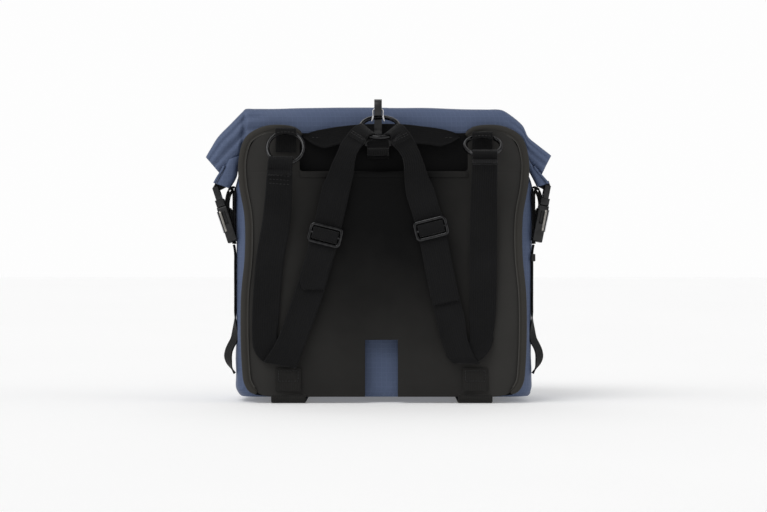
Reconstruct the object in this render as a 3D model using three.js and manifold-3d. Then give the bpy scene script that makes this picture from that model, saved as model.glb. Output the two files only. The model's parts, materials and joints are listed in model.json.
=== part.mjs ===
// A roll-top waterproof bicycle bag, seen and worn by its back: a hollow fabric body, a black back panel
// whose sleeve drops over a carrier frame, and a two-strap harness that clips to a hook at the top.
// Millimetres, +Z up, +X to the right as one faces the harness, +Y away from the harness.
// Depths below are counted from the outside of the bag's back wall: negative is towards the harness.

import * as THREE from "three";
import { mergeVertices } from "three/addons/utils/BufferGeometryUtils.js";
import Module from "manifold-3d";

const wasm = await Module();
wasm.setup();

// Driving dimensions
const gap = 0.3;
const overcut = 1;
const aboveAll = 400;
const backWallY = -48.5;

const body = { half: 159, depth: 160, base: 6, rim: 236, corner: 45, hem: 14, wall: 2.5 };
const collar = { half: 140, near: 3, far: 27, top: 276.7, wall: 2 };
const roll = { half: 140, near: 2.5, far: 27.5, bottom: 277, top: 315.5, corner: 9 };
const rollBar = { half: 132, thick: 4, bottom: 286, top: 306 };
const board = { half: 124, near: 22, far: 138, thick: 3 };
const stiffener = { half: 112, thick: 2, bottom: 24, top: 228 };

// The folded end of the roll, as across and up, from its upper inner corner round its tip
const ear = { inset: 1, corner: 4 };
const earOutline = [
  [140.5, 314], [148, 314], [165, 290], [184, 262], [179, 249],
  [167, 243], [161, 248], [152, 272], [144, 286], [140.5, 287],
];

// The right half of the back panel's edge, as across and up, from its foot to the end of its shoulder
const panelFoot = 7;
const panelHalf = [
  [108, panelFoot], [140, 9], [149, 20], [152, 40], [153, 112], [148.8, 160], [149.2, 200],
  [155, 235], [155.5, 262], [148, 285], [131, 296], [112, 298.5], [95, 296], [86, 291],
];
const liner = { near: -2.3, far: -0.3, middleTop: 290 };
const sleeve = { near: -15, far: -13, mouth: 247.7, mouthHalf: 90 };
const welt = { width: 8, near: -16, far: -2.6, foot: 21 };
const notch = { left: -20, right: 15.2, top: 68, corner: 4 };

const webbing = 1.8;
const baseStrap = { centres: [-102, 98], width: 38, near: -17.6, far: 150, height: 5.6, corner: 1.5 };
const patch = { width: 27, near: -16.7, far: -15.3, top: 38 };

// Each side ring hangs from the tab at its top, and leans out by its tilt
const ring = { tube: 2.25, sideRadius: 19.25, centreRadius: 20.25, seat: -20.5, sections: 8, steps: 32 };
const sideRing = {
  left: { x: -104.5, top: 289.9, tilt: THREE.MathUtils.degToRad(28) },
  right: { x: 105.3, top: 285.9, tilt: THREE.MathUtils.degToRad(55) },
};
const centreRing = { x: -3.9, y: -44.6, z: 294, tilt: THREE.MathUtils.degToRad(55) };
const ringTab = { width: 22, near: -28.4, far: -16.3, wall: 1.6, slack: 0.6, drop: 12, window: 9.4, hem: 24 };
const loop = { thick: 1.6, sideHalf: 12, inner: 2, outer: 19, back: 1.5 };

const handle = {
  left: -86, right: 82, near: -6.2, far: -4.4, bow: 9,
  z: 287, low: 279, high: 299, taper: 34, endShare: 0.22, steps: 24,
};

const hook = {
  x: -6, thick: 8, back: -19.5, front: -41, low: 285, high: 324.4, corner: 10,
  wall: 3, floor: 3.5, crown: 3.4, mouthDepth: 8, mouthTop: 306.5,
};
const hookFrame = {
  half: 14, low: 275, high: 285.2, back: -31.6, front: -28.4, side: 3, lowBar: 3.2, highBar: 1.6,
};
const gate = { y: -37, pivot: 300.6, top: 313.6, wire: 0.9, narrow: 5.1, wide: 6.4, corner: 1.5 };

// The anchor strap that folds round the hook's frame, as depth and up, and its clearance from the low bar
const hookTab = { half: 10, clear: 0.9, below: 1, above: 4 };
const hookTabOutline = [
  [-2.7, 262], [-2.7, 268.5], [-17, 276], [-27, 280.4], [-33.6, 280.4],
  [-34.2, 272.4], [-31, 271.6], [-20, 270.6],
];

const strap = { outer: -18.5, inner: -22.2, tail: -24.5, lift: 30, liftFrom: 190, runOut: 12 };
const glide = { width: 36.4, height: 22, bar: 3.5, near: -28, far: -25, corner: 4, windowCorner: 1.5 };
const glideWebbing = { half: 13.5, reach: 6, leg: 1.6 };

// A buckle's lengths are counted down from its top
const buckle = { y: 18, width: 28, thick: 10.4, frame: 14, shoulder: 22, length: 62, corner: 3 };
const male = {
  thick: 6, bar: 3, windowTop: 4, windowEnd: 9.5, baseThick: 9.2, baseInset: 1,
  prongThick: 4.4, prongWidth: 4.8, prongInset: 4, prongEnd: 44,
  tongueThick: 3.2, tongueWidth: 3.6, tongueEnd: 40,
};
const female = {
  wall: 2.4, socket: 6.4, floor: 46, port: 4.8, portTop: 28, portEnd: 42,
  slotInset: 3, slotTop: 52, slotEnd: 57.5,
};
const plate = { thick: 1.2, half: 10, top: 26, end: 50 };
const buckleSeats = {
  left: { top: [-182.2, 232], tilt: THREE.MathUtils.degToRad(18) },
  right: { top: [177.6, 234], tilt: THREE.MathUtils.degToRad(11) },
};
const buckleWebbing = { near: 8, far: 26, end: [174, 244.6], rise: 0.6 };

// The strap down each flank, as across and up, with the slack loop at its foot, and the right one's keeper
const flankStrap = { near: 8, far: 28 };
const flankLine = [
  [161.2, 30], [165, 36], [169, 48], [167, 58], [161.8, 68], [161, 90], [161, 150], [161, 162], [162.6, 170.9],
];
const keeper = { left: 159.5, right: 163.8, near: 6, far: 30, low: 152, high: 160, corner: 1 };
const keeperHole = { left: 159.9, right: 162.4, near: 7.6, far: 28.4, corner: 0.3 };

const sides = [
  { name: "left", sign: -1 },
  { name: "right", sign: 1 },
];

// Each strap leg is a centre line from its low end to its high end, as across and up, with its width there
const strapLegs = {
  left: {
    outer: [
      [-128, 44, 14], [-128.2, 57, 23], [-127, 79, 28], [-121.5, 153, 30], [-114.2, 196, 30], [-110, 250, 27],
    ],
    inner: [[-108, 42, 24], [-96, 72, 29], [-77, 127, 30], [-62.3, 180, 30], [-50, 233.5, 30]],
    top: [[-49.5, 236.5, 30], [-43.5, 255, 29], [-31, 276, 26]],
    tail: [[-79, 120, 29], [-62.3, 180, 29]],
    glide: { x: -62.3, z: 180, turn: THREE.MathUtils.degToRad(-14) },
  },
  right: {
    outer: [
      [101.2, 46, 14], [103, 57, 20], [105, 84, 27], [106.3, 150, 29], [106.5, 200, 29], [106.5, 257, 27],
    ],
    inner: [[88, 44, 24], [78, 67, 29], [62.6, 127, 30], [50.5, 187, 30], [36.5, 233.5, 30]],
    top: [[36, 236.5, 30], [29.5, 262, 29], [22, 276, 26]],
    tail: [[67.5, 105, 29], [50.5, 187, 29]],
    glide: { x: 50.5, z: 187, turn: THREE.MathUtils.degToRad(14) },
  },
};

// Materials
function finish(color, roughness, metalness = 0) {
  return new THREE.MeshStandardMaterial({ color, roughness, metalness });
}
const blueFabric = () => finish(0x46587a, 0.75);
const blackPanel = () => finish(0x232427, 0.5);
const blackWebbing = () => finish(0x1c1c1f, 0.9);
const blackPlastic = () => finish(0x161617, 0.4);
const darkMetal = () => finish(0x3a3a3c, 0.3, 1);
const brightMetal = () => finish(0xc9cbd0, 0.2, 1);
const stiffBoard = () => finish(0x2b2d30, 0.6);

// Solids
function solidOf(geometry) {
  const bare = geometry.index ? geometry.toNonIndexed() : geometry.clone();
  bare.deleteAttribute("normal");
  bare.deleteAttribute("uv");
  const merged = mergeVertices(bare, 1e-4);
  const vertProperties = Float32Array.from(merged.attributes.position.array);
  const triVerts = Uint32Array.from(merged.index.array);
  return new wasm.Manifold(new wasm.Mesh({ numProp: 3, vertProperties, triVerts }));
}

function geometryOf(solid) {
  const mesh = solid.getMesh();
  const vertices = new Float32Array(mesh.numVert * 3);
  for (let i = 0; i < mesh.numVert; i++) {
    vertices.set(mesh.vertProperties.subarray(i * mesh.numProp, i * mesh.numProp + 3), i * 3);
  }
  const geometry = new THREE.BufferGeometry().setAttribute("position", new THREE.BufferAttribute(vertices, 3));
  return geometry.setIndex(new THREE.BufferAttribute(Uint32Array.from(mesh.triVerts), 1));
}

function block(x0, x1, y0, y1, z0, z1) {
  const geometry = new THREE.BoxGeometry(x1 - x0, y1 - y0, z1 - z0);
  return solidOf(geometry.translate((x0 + x1) / 2, (y0 + y1) / 2, (z0 + z1) / 2));
}

// An outline with every corner rounded off.
function rounded(points, radius) {
  const shape = new THREE.Shape();
  const corners = points.map(([x, y]) => new THREE.Vector2(x, y));
  corners.forEach((corner, i) => {
    const before = corners[(i + corners.length - 1) % corners.length];
    const after = corners[(i + 1) % corners.length];
    const cut = Math.min(radius, corner.distanceTo(before) / 2, corner.distanceTo(after) / 2);
    const into = corner.clone().lerp(before, cut / corner.distanceTo(before));
    const out = corner.clone().lerp(after, cut / corner.distanceTo(after));
    if (i === 0) shape.moveTo(into.x, into.y);
    else shape.lineTo(into.x, into.y);
    shape.quadraticCurveTo(corner.x, corner.y, out.x, out.y);
  });
  shape.closePath();
  return shape;
}

function roundedBox(x0, x1, y0, y1, radius) {
  return rounded([[x0, y0], [x1, y0], [x1, y1], [x0, y1]], radius);
}

const extrude = (shape, depth, curveSegments = 4) =>
  new THREE.ExtrudeGeometry(shape, { depth, bevelEnabled: false, curveSegments });

// An outline across and up, filling the depths from near to far.
function upright(shape, near, far, curveSegments) {
  return extrude(shape, far - near, curveSegments).rotateX(Math.PI / 2).translate(0, far, 0);
}

// An outline in depth and up, filling the widths from left to right.
function sideways(shape, left, right, curveSegments) {
  const geometry = extrude(shape, right - left, curveSegments);
  return geometry.rotateX(Math.PI / 2).rotateZ(Math.PI / 2).translate(left, 0, 0);
}

// Moves every vertex of a geometry by a rule.
function reshape(geometry, rule) {
  const place = geometry.attributes.position;
  const point = new THREE.Vector3();
  for (let i = 0; i < place.count; i++) {
    rule(point.fromBufferAttribute(place, i));
    place.setXYZ(i, point.x, point.y, point.z);
  }
  return geometry;
}

// The outline of a strap lying along a centre line of [across, up, width].
function strapShape(line, steps = 14) {
  const curve = new THREE.CatmullRomCurve3(line.map((point) => new THREE.Vector3(...point)));
  const left = [];
  const right = [];
  for (let i = 0; i <= steps; i++) {
    const at = curve.getPointAt(i / steps);
    const along = curve.getTangentAt(i / steps);
    const across = new THREE.Vector2(-along.y, along.x).normalize().multiplyScalar(at.z / 2);
    left.push(new THREE.Vector2(at.x + across.x, at.y + across.y));
    right.unshift(new THREE.Vector2(at.x - across.x, at.y - across.y));
  }
  return new THREE.Shape([...left, ...right]);
}

const bag = new THREE.Group();
bag.position.y = backWallY;

function add(name, solid, material) {
  const mesh = new THREE.Mesh(solid.isBufferGeometry ? solid : geometryOf(solid), material);
  mesh.name = name;
  bag.add(mesh);
  return mesh;
}

// Body: one fabric shell, closed below and open at the rim
function bodyOutline(inset) {
  const corner = body.corner - inset;
  return roundedBox(-body.half + inset, body.half - inset, inset, body.depth - inset, corner);
}

function bodyShell(inset, base, top) {
  const bevel = body.hem - Math.min(inset, body.hem / 2);
  const geometry = new THREE.ExtrudeGeometry(bodyOutline(inset), {
    depth: top - base - bevel,
    curveSegments: 8,
    bevelThickness: bevel,
    bevelSize: bevel,
    bevelOffset: -bevel,
    bevelSegments: 4,
  });
  return solidOf(geometry.translate(0, 0, base + bevel));
}

function bodySolid() {
  const reach = body.half * 2;
  const above = block(-reach, reach, -reach, reach, body.rim, aboveAll);
  const outside = bodyShell(0, body.base, body.rim + body.hem).subtract(above);
  const inside = bodyShell(body.wall, body.base + body.wall, body.rim + 2 * body.hem);
  return outside.subtract(inside);
}

// Stiffeners: a board on the base and a sheet against the back wall
function baseBoardSolid() {
  const bottom = body.base + body.wall + gap;
  return block(-board.half, board.half, board.near, board.far, bottom, bottom + board.thick);
}

function backStiffenerSolid() {
  const near = body.wall + gap;
  const { half, thick, bottom, top } = stiffener;
  return block(-half, half, near, near + thick, bottom, top);
}

// Collar: the fabric that narrows from the rim to the roll
function collarShell(inset, base, top) {
  const geometry = extrude(bodyOutline(inset), top - base, 8).translate(0, 0, base);
  const centre = (collar.near + collar.far) / 2;
  const narrowX = (collar.half - inset) / (body.half - inset);
  const narrowY = (collar.far - collar.near - 2 * inset) / (body.depth - 2 * inset);
  return solidOf(reshape(geometry, (p) => {
    const rise = THREE.MathUtils.clamp((p.z - body.rim) / (collar.top - body.rim), 0, 1);
    const middle = THREE.MathUtils.lerp(body.depth / 2, centre, rise);
    p.x *= THREE.MathUtils.lerp(1, narrowX, rise);
    p.y = middle + (p.y - body.depth / 2) * THREE.MathUtils.lerp(1, narrowY, rise);
  }));
}

function collarSolid() {
  const outside = collarShell(0, body.rim + gap, collar.top);
  return outside.subtract(collarShell(collar.wall, body.rim - gap, collar.top + gap));
}

// Roll: the closed mouth wound round a stiffening bar that lies in an open channel
function rollBarSolid(half, clear) {
  const middle = (roll.near + roll.far) / 2;
  const thick = rollBar.thick / 2 + clear;
  return block(-half, half, middle - thick, middle + thick, rollBar.bottom - clear, rollBar.top + clear);
}

function rollSolid() {
  const shape = roundedBox(roll.near, roll.far, roll.bottom, roll.top, roll.corner);
  const outside = solidOf(sideways(shape, -roll.half, roll.half, 4));
  return outside.subtract(rollBarSolid(roll.half + overcut, gap));
}

function earGeometry(sign) {
  const shape = rounded(earOutline.map(([x, z]) => [sign * x, z]), ear.corner);
  return upright(shape, roll.near + ear.inset, roll.far - ear.inset, 2);
}

// Back panel: liner, sleeve and the two edge welts share one outline
function panelShape(inset) {
  const edge = panelHalf.map(([x, z]) => new THREE.Vector3(x - inset, z > body.rim ? z - inset / 2 : z, 0));
  const right = new THREE.CatmullRomCurve3(edge, false, "centripetal");
  const points = right.getPoints(30).map((p) => new THREE.Vector2(p.x, p.y));
  const left = points.map((p) => new THREE.Vector2(-p.x, p.y)).reverse();
  return new THREE.Shape([...points, ...left]);
}

function notchCut(near, far) {
  const shape = roundedBox(notch.left, notch.right, -notch.top, notch.top, notch.corner);
  return solidOf(upright(shape, near - overcut, far + overcut));
}

// What is cut away above a height, between the shoulders.
function mouthCut({ near, far }, bottom) {
  const shape = roundedBox(-sleeve.mouthHalf, sleeve.mouthHalf, bottom, aboveAll, notch.corner);
  return solidOf(upright(shape, near - overcut, far + overcut));
}

function linerSolid() {
  const whole = solidOf(upright(panelShape(0), liner.near, liner.far));
  return whole.subtract(mouthCut(liner, liner.middleTop)).subtract(notchCut(liner.near, liner.far));
}

function sleeveSolid() {
  const whole = solidOf(upright(panelShape(welt.width + gap), sleeve.near, sleeve.far));
  return whole.subtract(mouthCut(sleeve, sleeve.mouth)).subtract(notchCut(sleeve.near, sleeve.far));
}

function weltSolid(sign) {
  const outside = solidOf(upright(panelShape(0), welt.near, welt.far));
  const inside = solidOf(upright(panelShape(welt.width), welt.near - overcut, welt.far + overcut));
  const near = sign * (sleeve.mouthHalf + gap);
  const far = sign * body.half;
  const keep = block(Math.min(near, far), Math.max(near, far), welt.near - overcut, welt.far + overcut,
    welt.foot, aboveAll);
  return outside.subtract(inside).intersect(keep);
}

// Base straps: they cross under the sleeve's open foot and run under the base as runners
function baseStrapSolid(centre) {
  const half = baseStrap.width / 2;
  const shape = roundedBox(baseStrap.near, baseStrap.far, 0, baseStrap.height, baseStrap.corner);
  return solidOf(sideways(shape, centre - half, centre + half, 2));
}

function patchSolid(centre) {
  const half = patch.width / 2;
  return block(centre - half, centre + half, patch.near, patch.far, panelFoot, patch.top);
}

// Rings
function ringGeometry(radius, tube) {
  return new THREE.TorusGeometry(radius, tube, ring.sections, ring.steps);
}

function sideRingGeometry({ x, top, tilt }, tube = ring.tube) {
  const hanging = ringGeometry(ring.sideRadius, tube).rotateX(Math.PI / 2).translate(0, 0, -ring.sideRadius);
  return hanging.rotateX(-tilt).translate(x, ring.seat, top);
}

function centreRingGeometry(tube = ring.tube) {
  const lean = Math.PI / 2 - centreRing.tilt;
  return ringGeometry(ring.centreRadius, tube).rotateX(lean).translate(centreRing.x, centreRing.y, centreRing.z);
}

// A webbing end wrapped round the stretch of a ring that lies inside a block.
function wrap(ringOf, keep) {
  const outside = solidOf(ringOf(ring.tube + gap + loop.thick));
  return outside.subtract(solidOf(ringOf(ring.tube + gap))).intersect(keep);
}

function sideLoopSolid(seat) {
  const { x, top } = seat;
  const middle = top - ring.sideRadius * Math.cos(seat.tilt);
  const keep = block(x - loop.sideHalf, x + loop.sideHalf, -body.depth, ring.seat, 0, middle);
  return wrap((tube) => sideRingGeometry(seat, tube), keep);
}

function ringLoopSolid(sign) {
  const inner = centreRing.x + sign * loop.inner;
  const outer = centreRing.x + sign * loop.outer;
  const back = centreRing.y - loop.back;
  const keep = block(Math.min(inner, outer), Math.max(inner, outer), -body.depth, back, 0, aboveAll);
  return wrap(centreRingGeometry, keep);
}

function ringTabSolid({ x, top }) {
  const { near, far, wall, drop, window, hem } = ringTab;
  const crown = top + ring.tube + ringTab.slack;
  const left = x - ringTab.width / 2;
  const right = x + ringTab.width / 2;
  const outside = solidOf(sideways(roundedBox(near, far, crown - drop, crown + wall, 2), left, right, 2));
  const hole = roundedBox(near + wall, far - wall, crown - window, crown, 1);
  const base = block(left, right, far - wall, far, crown - hem, crown - window);
  return outside.add(base).subtract(solidOf(sideways(hole, left - overcut, right + overcut, 2)));
}

// Carry handle: webbing bowed out from its two sewn ends
function handleGeometry() {
  const middle = (handle.left + handle.right) / 2;
  const half = (handle.right - handle.left) / 2;
  const share = (x) => Math.min(1, handle.endShare + (half - Math.abs(x - middle)) / handle.taper);
  const strip = new THREE.BoxGeometry(2 * half, handle.far - handle.near, 1, handle.steps);
  return reshape(strip.translate(middle, (handle.near + handle.far) / 2, 0), (p) => {
    const edge = p.z > 0 ? handle.high : handle.low;
    p.z = THREE.MathUtils.lerp(handle.z, edge, share(p.x));
    p.y -= handle.bow * Math.cos(((p.x - middle) / half) * (Math.PI / 2)) ** 0.5;
  });
}

// Hook: a wire-gate hook on a frame that the anchor tab folds round
function hookSolid() {
  const { wall, corner } = hook;
  const left = hook.x - hook.thick / 2;
  const right = hook.x + hook.thick / 2;
  const outside = roundedBox(hook.front, hook.back, hook.low, hook.high, corner);
  const eye = roundedBox(
    hook.front + wall, hook.back - wall, hook.low + hook.floor, hook.high - hook.crown, corner - wall);
  const mouth = block(left - overcut, right + overcut, hook.front - overcut, hook.front + hook.mouthDepth,
    gate.pivot + overcut, hook.mouthTop);
  return solidOf(sideways(outside, left, right, 5))
    .subtract(solidOf(sideways(eye, left - overcut, right + overcut, 5)))
    .subtract(mouth)
    .add(hookFrameSolid());
}

function hookFrameSolid() {
  const { half, low, high, back, front, side, lowBar, highBar } = hookFrame;
  const inner = half - side;
  const window = block(
    hook.x - inner, hook.x + inner, back - overcut, front + overcut, low + lowBar, high - highBar);
  return block(hook.x - half, hook.x + half, back, front, low, high).subtract(window);
}

function gateGeometry() {
  const { narrow, wide, pivot, top, corner } = gate;
  const half = [[narrow - corner, top], [narrow, top - corner], [narrow, (pivot + top) / 2], [wide, pivot]];
  const mirrored = half.map(([x, z]) => [-x, z]).reverse();
  const points = [...mirrored, ...half].map(([x, z]) => new THREE.Vector3(hook.x + x, gate.y, z));
  const extrudePath = new THREE.CatmullRomCurve3(points, false, "centripetal");
  const section = new THREE.Shape().absarc(0, 0, gate.wire, 0, Math.PI * 2);
  return new THREE.ExtrudeGeometry(section, { steps: 28, bevelEnabled: false, curveSegments: 8, extrudePath });
}

function hookTabSolid() {
  const { half, clear, below, above } = hookTab;
  const strapSolid = solidOf(sideways(rounded(hookTabOutline, 1), hook.x - half, hook.x + half, 2));
  const hole = roundedBox(
    hookFrame.back - clear, hookFrame.front + clear, hookFrame.low - below, hookFrame.low + above, 1);
  return strapSolid.subtract(solidOf(sideways(hole, hook.x - half - overcut, hook.x + half + overcut, 2)));
}

// Harness straps
function legGeometry(line, near) {
  return upright(strapShape(line), near, near + webbing);
}

// A leg that rises off the panel by lift between two heights.
function liftedLeg(line, near, lift, from, to) {
  return reshape(legGeometry(line, near), (p) => {
    p.y -= lift * THREE.MathUtils.smoothstep(p.z, from, to);
  });
}

function strapTopGeometry(line) {
  return liftedLeg(line, strap.inner, strap.lift, line[0][1], line.at(-1)[1] + strap.runOut);
}

function strapOuterGeometry(line, seat) {
  const reach = 2 * ring.sideRadius;
  const lift = strap.outer + webbing / 2 - ring.seat + reach * Math.sin(seat.tilt);
  return liftedLeg(line, strap.outer, lift, strap.liftFrom, seat.top - reach * Math.cos(seat.tilt));
}

// A slide frame with two windows, and the webbing that crosses its middle bar.
function glideGeometry({ x, z, turn }) {
  const half = glide.width / 2;
  const top = glide.height / 2;
  const { bar, corner, windowCorner } = glide;
  const shape = roundedBox(-half, half, -top, top, corner);
  shape.holes.push(roundedBox(bar - half, half - bar, bar / 2, top - bar, windowCorner));
  shape.holes.push(roundedBox(bar - half, half - bar, bar - top, -bar / 2, windowCorner));
  return upright(shape, glide.near, glide.far, 4).rotateY(-turn).translate(x, 0, z);
}

function glideWebbingSolid({ x, z, turn }) {
  const { half, reach, leg } = glideWebbing;
  const front = glide.near - gap - webbing;
  const solid = block(-half, half, front, front + webbing, -reach, reach)
    .add(block(-half, half, front, glide.far, reach - leg, reach))
    .add(block(-half, half, front, glide.far, -reach, leg - reach));
  return geometryOf(solid).rotateY(-turn).translate(x, 0, z);
}

// Side buckles, built hanging straight down from their top middle, then tilted outwards
function seated(solid, side) {
  const { top, tilt } = buckleSeats[side.name];
  return geometryOf(solid).rotateY(side.sign * tilt).translate(top[0], buckle.y, top[1]);
}

// A block centred across the buckle's thickness and width, from one depth below its top to another.
function buckleBlock(thick, width, from, to, centre = 0) {
  return block(-thick / 2, thick / 2, centre - width / 2, centre + width / 2, -to, -from);
}

function buckleMaleSolid() {
  const { bar, windowTop, windowEnd, prongThick, prongWidth, prongEnd } = male;
  const root = buckle.shoulder - overcut;
  const prongCentre = buckle.width / 2 - male.prongInset - prongWidth / 2;
  return buckleBlock(male.thick, buckle.width, 0, buckle.frame)
    .subtract(buckleBlock(male.thick + overcut, buckle.width - 2 * bar, windowTop, windowEnd))
    .add(buckleBlock(male.baseThick, buckle.width - 2 * male.baseInset, buckle.frame, buckle.shoulder - gap))
    .add(buckleBlock(prongThick, prongWidth, root, prongEnd, prongCentre))
    .add(buckleBlock(prongThick, prongWidth, root, prongEnd, -prongCentre))
    .add(buckleBlock(male.tongueThick, male.tongueWidth, root, male.tongueEnd));
}

function buckleFemaleSolid() {
  const half = buckle.width / 2;
  const through = buckle.thick + 2 * overcut;
  const shape = roundedBox(-half, half, -buckle.length, -buckle.shoulder, buckle.corner);
  return solidOf(sideways(shape, -buckle.thick / 2, buckle.thick / 2, 3))
    .subtract(buckleBlock(female.socket, buckle.width - 2 * female.wall, 0, female.floor))
    .subtract(buckleBlock(female.port, buckle.width + 2 * overcut, female.portTop, female.portEnd))
    .subtract(buckleBlock(through, buckle.width - 2 * female.slotInset, female.slotTop, female.slotEnd));
}

function bucklePlateSolid(sign) {
  const face = sign * (buckle.thick / 2 + gap);
  const outer = face + sign * plate.thick;
  return block(Math.min(face, outer), Math.max(face, outer), -plate.half, plate.half, -plate.end, -plate.top);
}

function buckleWebbingGeometry(side) {
  const { near, far, end, rise } = buckleWebbing;
  const [x, z] = buckleSeats[side.name].top;
  const line = [[x, z + gap + rise, webbing], [side.sign * end[0], end[1], webbing]];
  return upright(strapShape(line, 2), near, far, 2);
}

// Side straps: taut down the flank from the buckle, with a slack loop at the foot
function flankStrapGeometry(sign) {
  const line = flankLine.map(([x, z]) => [sign * x, z, webbing]);
  return upright(strapShape(line, 26), flankStrap.near, flankStrap.far, 2);
}

function keeperSolid() {
  const { left, right, near, far, low, high, corner } = keeper;
  const hole = roundedBox(keeperHole.left, keeperHole.right, low - overcut, high + overcut, keeperHole.corner);
  return solidOf(upright(roundedBox(left, right, low, high, corner), near, far))
    .subtract(solidOf(upright(hole, keeperHole.near, keeperHole.far)));
}

// Assembly
add("bag_body", bodySolid(), blueFabric());
add("roll_collar", collarSolid(), blueFabric());
add("roll_top", rollSolid(), blueFabric());
add("roll_stiffener", rollBarSolid(rollBar.half, 0), stiffBoard());
add("base_board", baseBoardSolid(), stiffBoard());
add("back_stiffener", backStiffenerSolid(), stiffBoard());
add("back_liner", linerSolid(), blackPanel());
add("sleeve_panel", sleeveSolid(), blackPanel());
add("carry_handle", handleGeometry(), blackWebbing());
add("hook_tab", hookTabSolid(), blackWebbing());
add("hook_body", hookSolid(), blackPlastic());
add("hook_gate", gateGeometry(), brightMetal());
add("centre_ring", centreRingGeometry(), darkMetal());

sides.forEach((side, i) => {
  const { name, sign } = side;
  const legs = strapLegs[name];
  add("edge_welt_" + name, weltSolid(sign), blackPanel());
  add("base_strap_" + name, baseStrapSolid(baseStrap.centres[i]), blackWebbing());
  add("strap_patch_" + name, patchSolid(baseStrap.centres[i]), blackWebbing());
  add("roll_ear_" + name, earGeometry(sign), blueFabric());
  add("buckle_webbing_" + name, buckleWebbingGeometry(side), blackWebbing());
  add("buckle_male_" + name, seated(buckleMaleSolid(), side), blackPlastic());
  add("buckle_female_" + name, seated(buckleFemaleSolid(), side), blackPlastic());
  add("buckle_plate_" + name, seated(bucklePlateSolid(sign), side), brightMetal());
  add("side_strap_" + name, flankStrapGeometry(sign), blackWebbing());
  add("ring_tab_" + name, ringTabSolid(sideRing[name]), blackWebbing());
  add("side_ring_" + name, sideRingGeometry(sideRing[name]), darkMetal());
  add("side_loop_" + name, sideLoopSolid(sideRing[name]), blackWebbing());
  add("ring_loop_" + name, ringLoopSolid(sign), blackWebbing());
  add("strap_top_" + name, strapTopGeometry(legs.top), blackWebbing());
  add("strap_inner_" + name, legGeometry(legs.inner, strap.inner), blackWebbing());
  add("strap_outer_" + name, strapOuterGeometry(legs.outer, sideRing[name]), blackWebbing());
  add("strap_tail_" + name, legGeometry(legs.tail, strap.tail), blackWebbing());
  add("triglide_" + name, glideGeometry(legs.glide), darkMetal());
  add("glide_webbing_" + name, glideWebbingSolid(legs.glide), blackWebbing());
});
add("strap_keeper", keeperSolid(), blackPlastic());

export default bag;
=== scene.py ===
"""The looks of a roll-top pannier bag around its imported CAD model. Metres, +Z up, harness towards -Y."""

import json
import math

import bmesh
import bpy
import numpy as np
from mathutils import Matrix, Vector, noise


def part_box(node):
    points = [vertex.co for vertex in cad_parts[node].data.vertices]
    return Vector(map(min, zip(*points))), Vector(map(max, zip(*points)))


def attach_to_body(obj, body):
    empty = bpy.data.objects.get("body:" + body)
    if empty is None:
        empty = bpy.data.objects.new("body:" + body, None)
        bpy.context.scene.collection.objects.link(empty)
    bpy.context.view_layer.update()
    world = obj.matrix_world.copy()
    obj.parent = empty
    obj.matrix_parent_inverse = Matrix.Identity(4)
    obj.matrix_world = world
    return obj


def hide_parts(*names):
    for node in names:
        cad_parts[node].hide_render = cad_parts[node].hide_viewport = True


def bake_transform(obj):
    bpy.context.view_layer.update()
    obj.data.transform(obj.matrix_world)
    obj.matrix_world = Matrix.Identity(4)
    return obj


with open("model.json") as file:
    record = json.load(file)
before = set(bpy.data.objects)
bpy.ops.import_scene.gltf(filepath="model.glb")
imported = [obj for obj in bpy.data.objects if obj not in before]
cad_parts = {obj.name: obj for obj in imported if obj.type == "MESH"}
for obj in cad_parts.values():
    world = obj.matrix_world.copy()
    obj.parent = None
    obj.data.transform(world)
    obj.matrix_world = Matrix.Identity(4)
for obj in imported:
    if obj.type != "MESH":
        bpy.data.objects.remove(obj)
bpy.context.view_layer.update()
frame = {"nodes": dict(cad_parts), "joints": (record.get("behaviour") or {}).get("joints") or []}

MM = 0.001
SIDES = (("left", -1), ("right", 1))

body_low, body_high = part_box("bag_body")
roll_low, roll_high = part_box("roll_top")
BACK_Y = body_low.y
RIM_Z = body_high.z
LINER_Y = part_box("back_liner")[0].y
SLEEVE_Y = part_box("sleeve_panel")[0].y
# The sleeve's mouth: its lower edge and half its width. The notch in its foot: left, right and top
MOUTH_Z = 0.2477
MOUTH_HALF = 0.090
FLAT_HALF = 0.050
NOTCH = (-0.020, 0.0152, 0.068)
WEBBING_THICK = 1.7 * MM


# ---------------------------------------------------------------- materials

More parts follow.
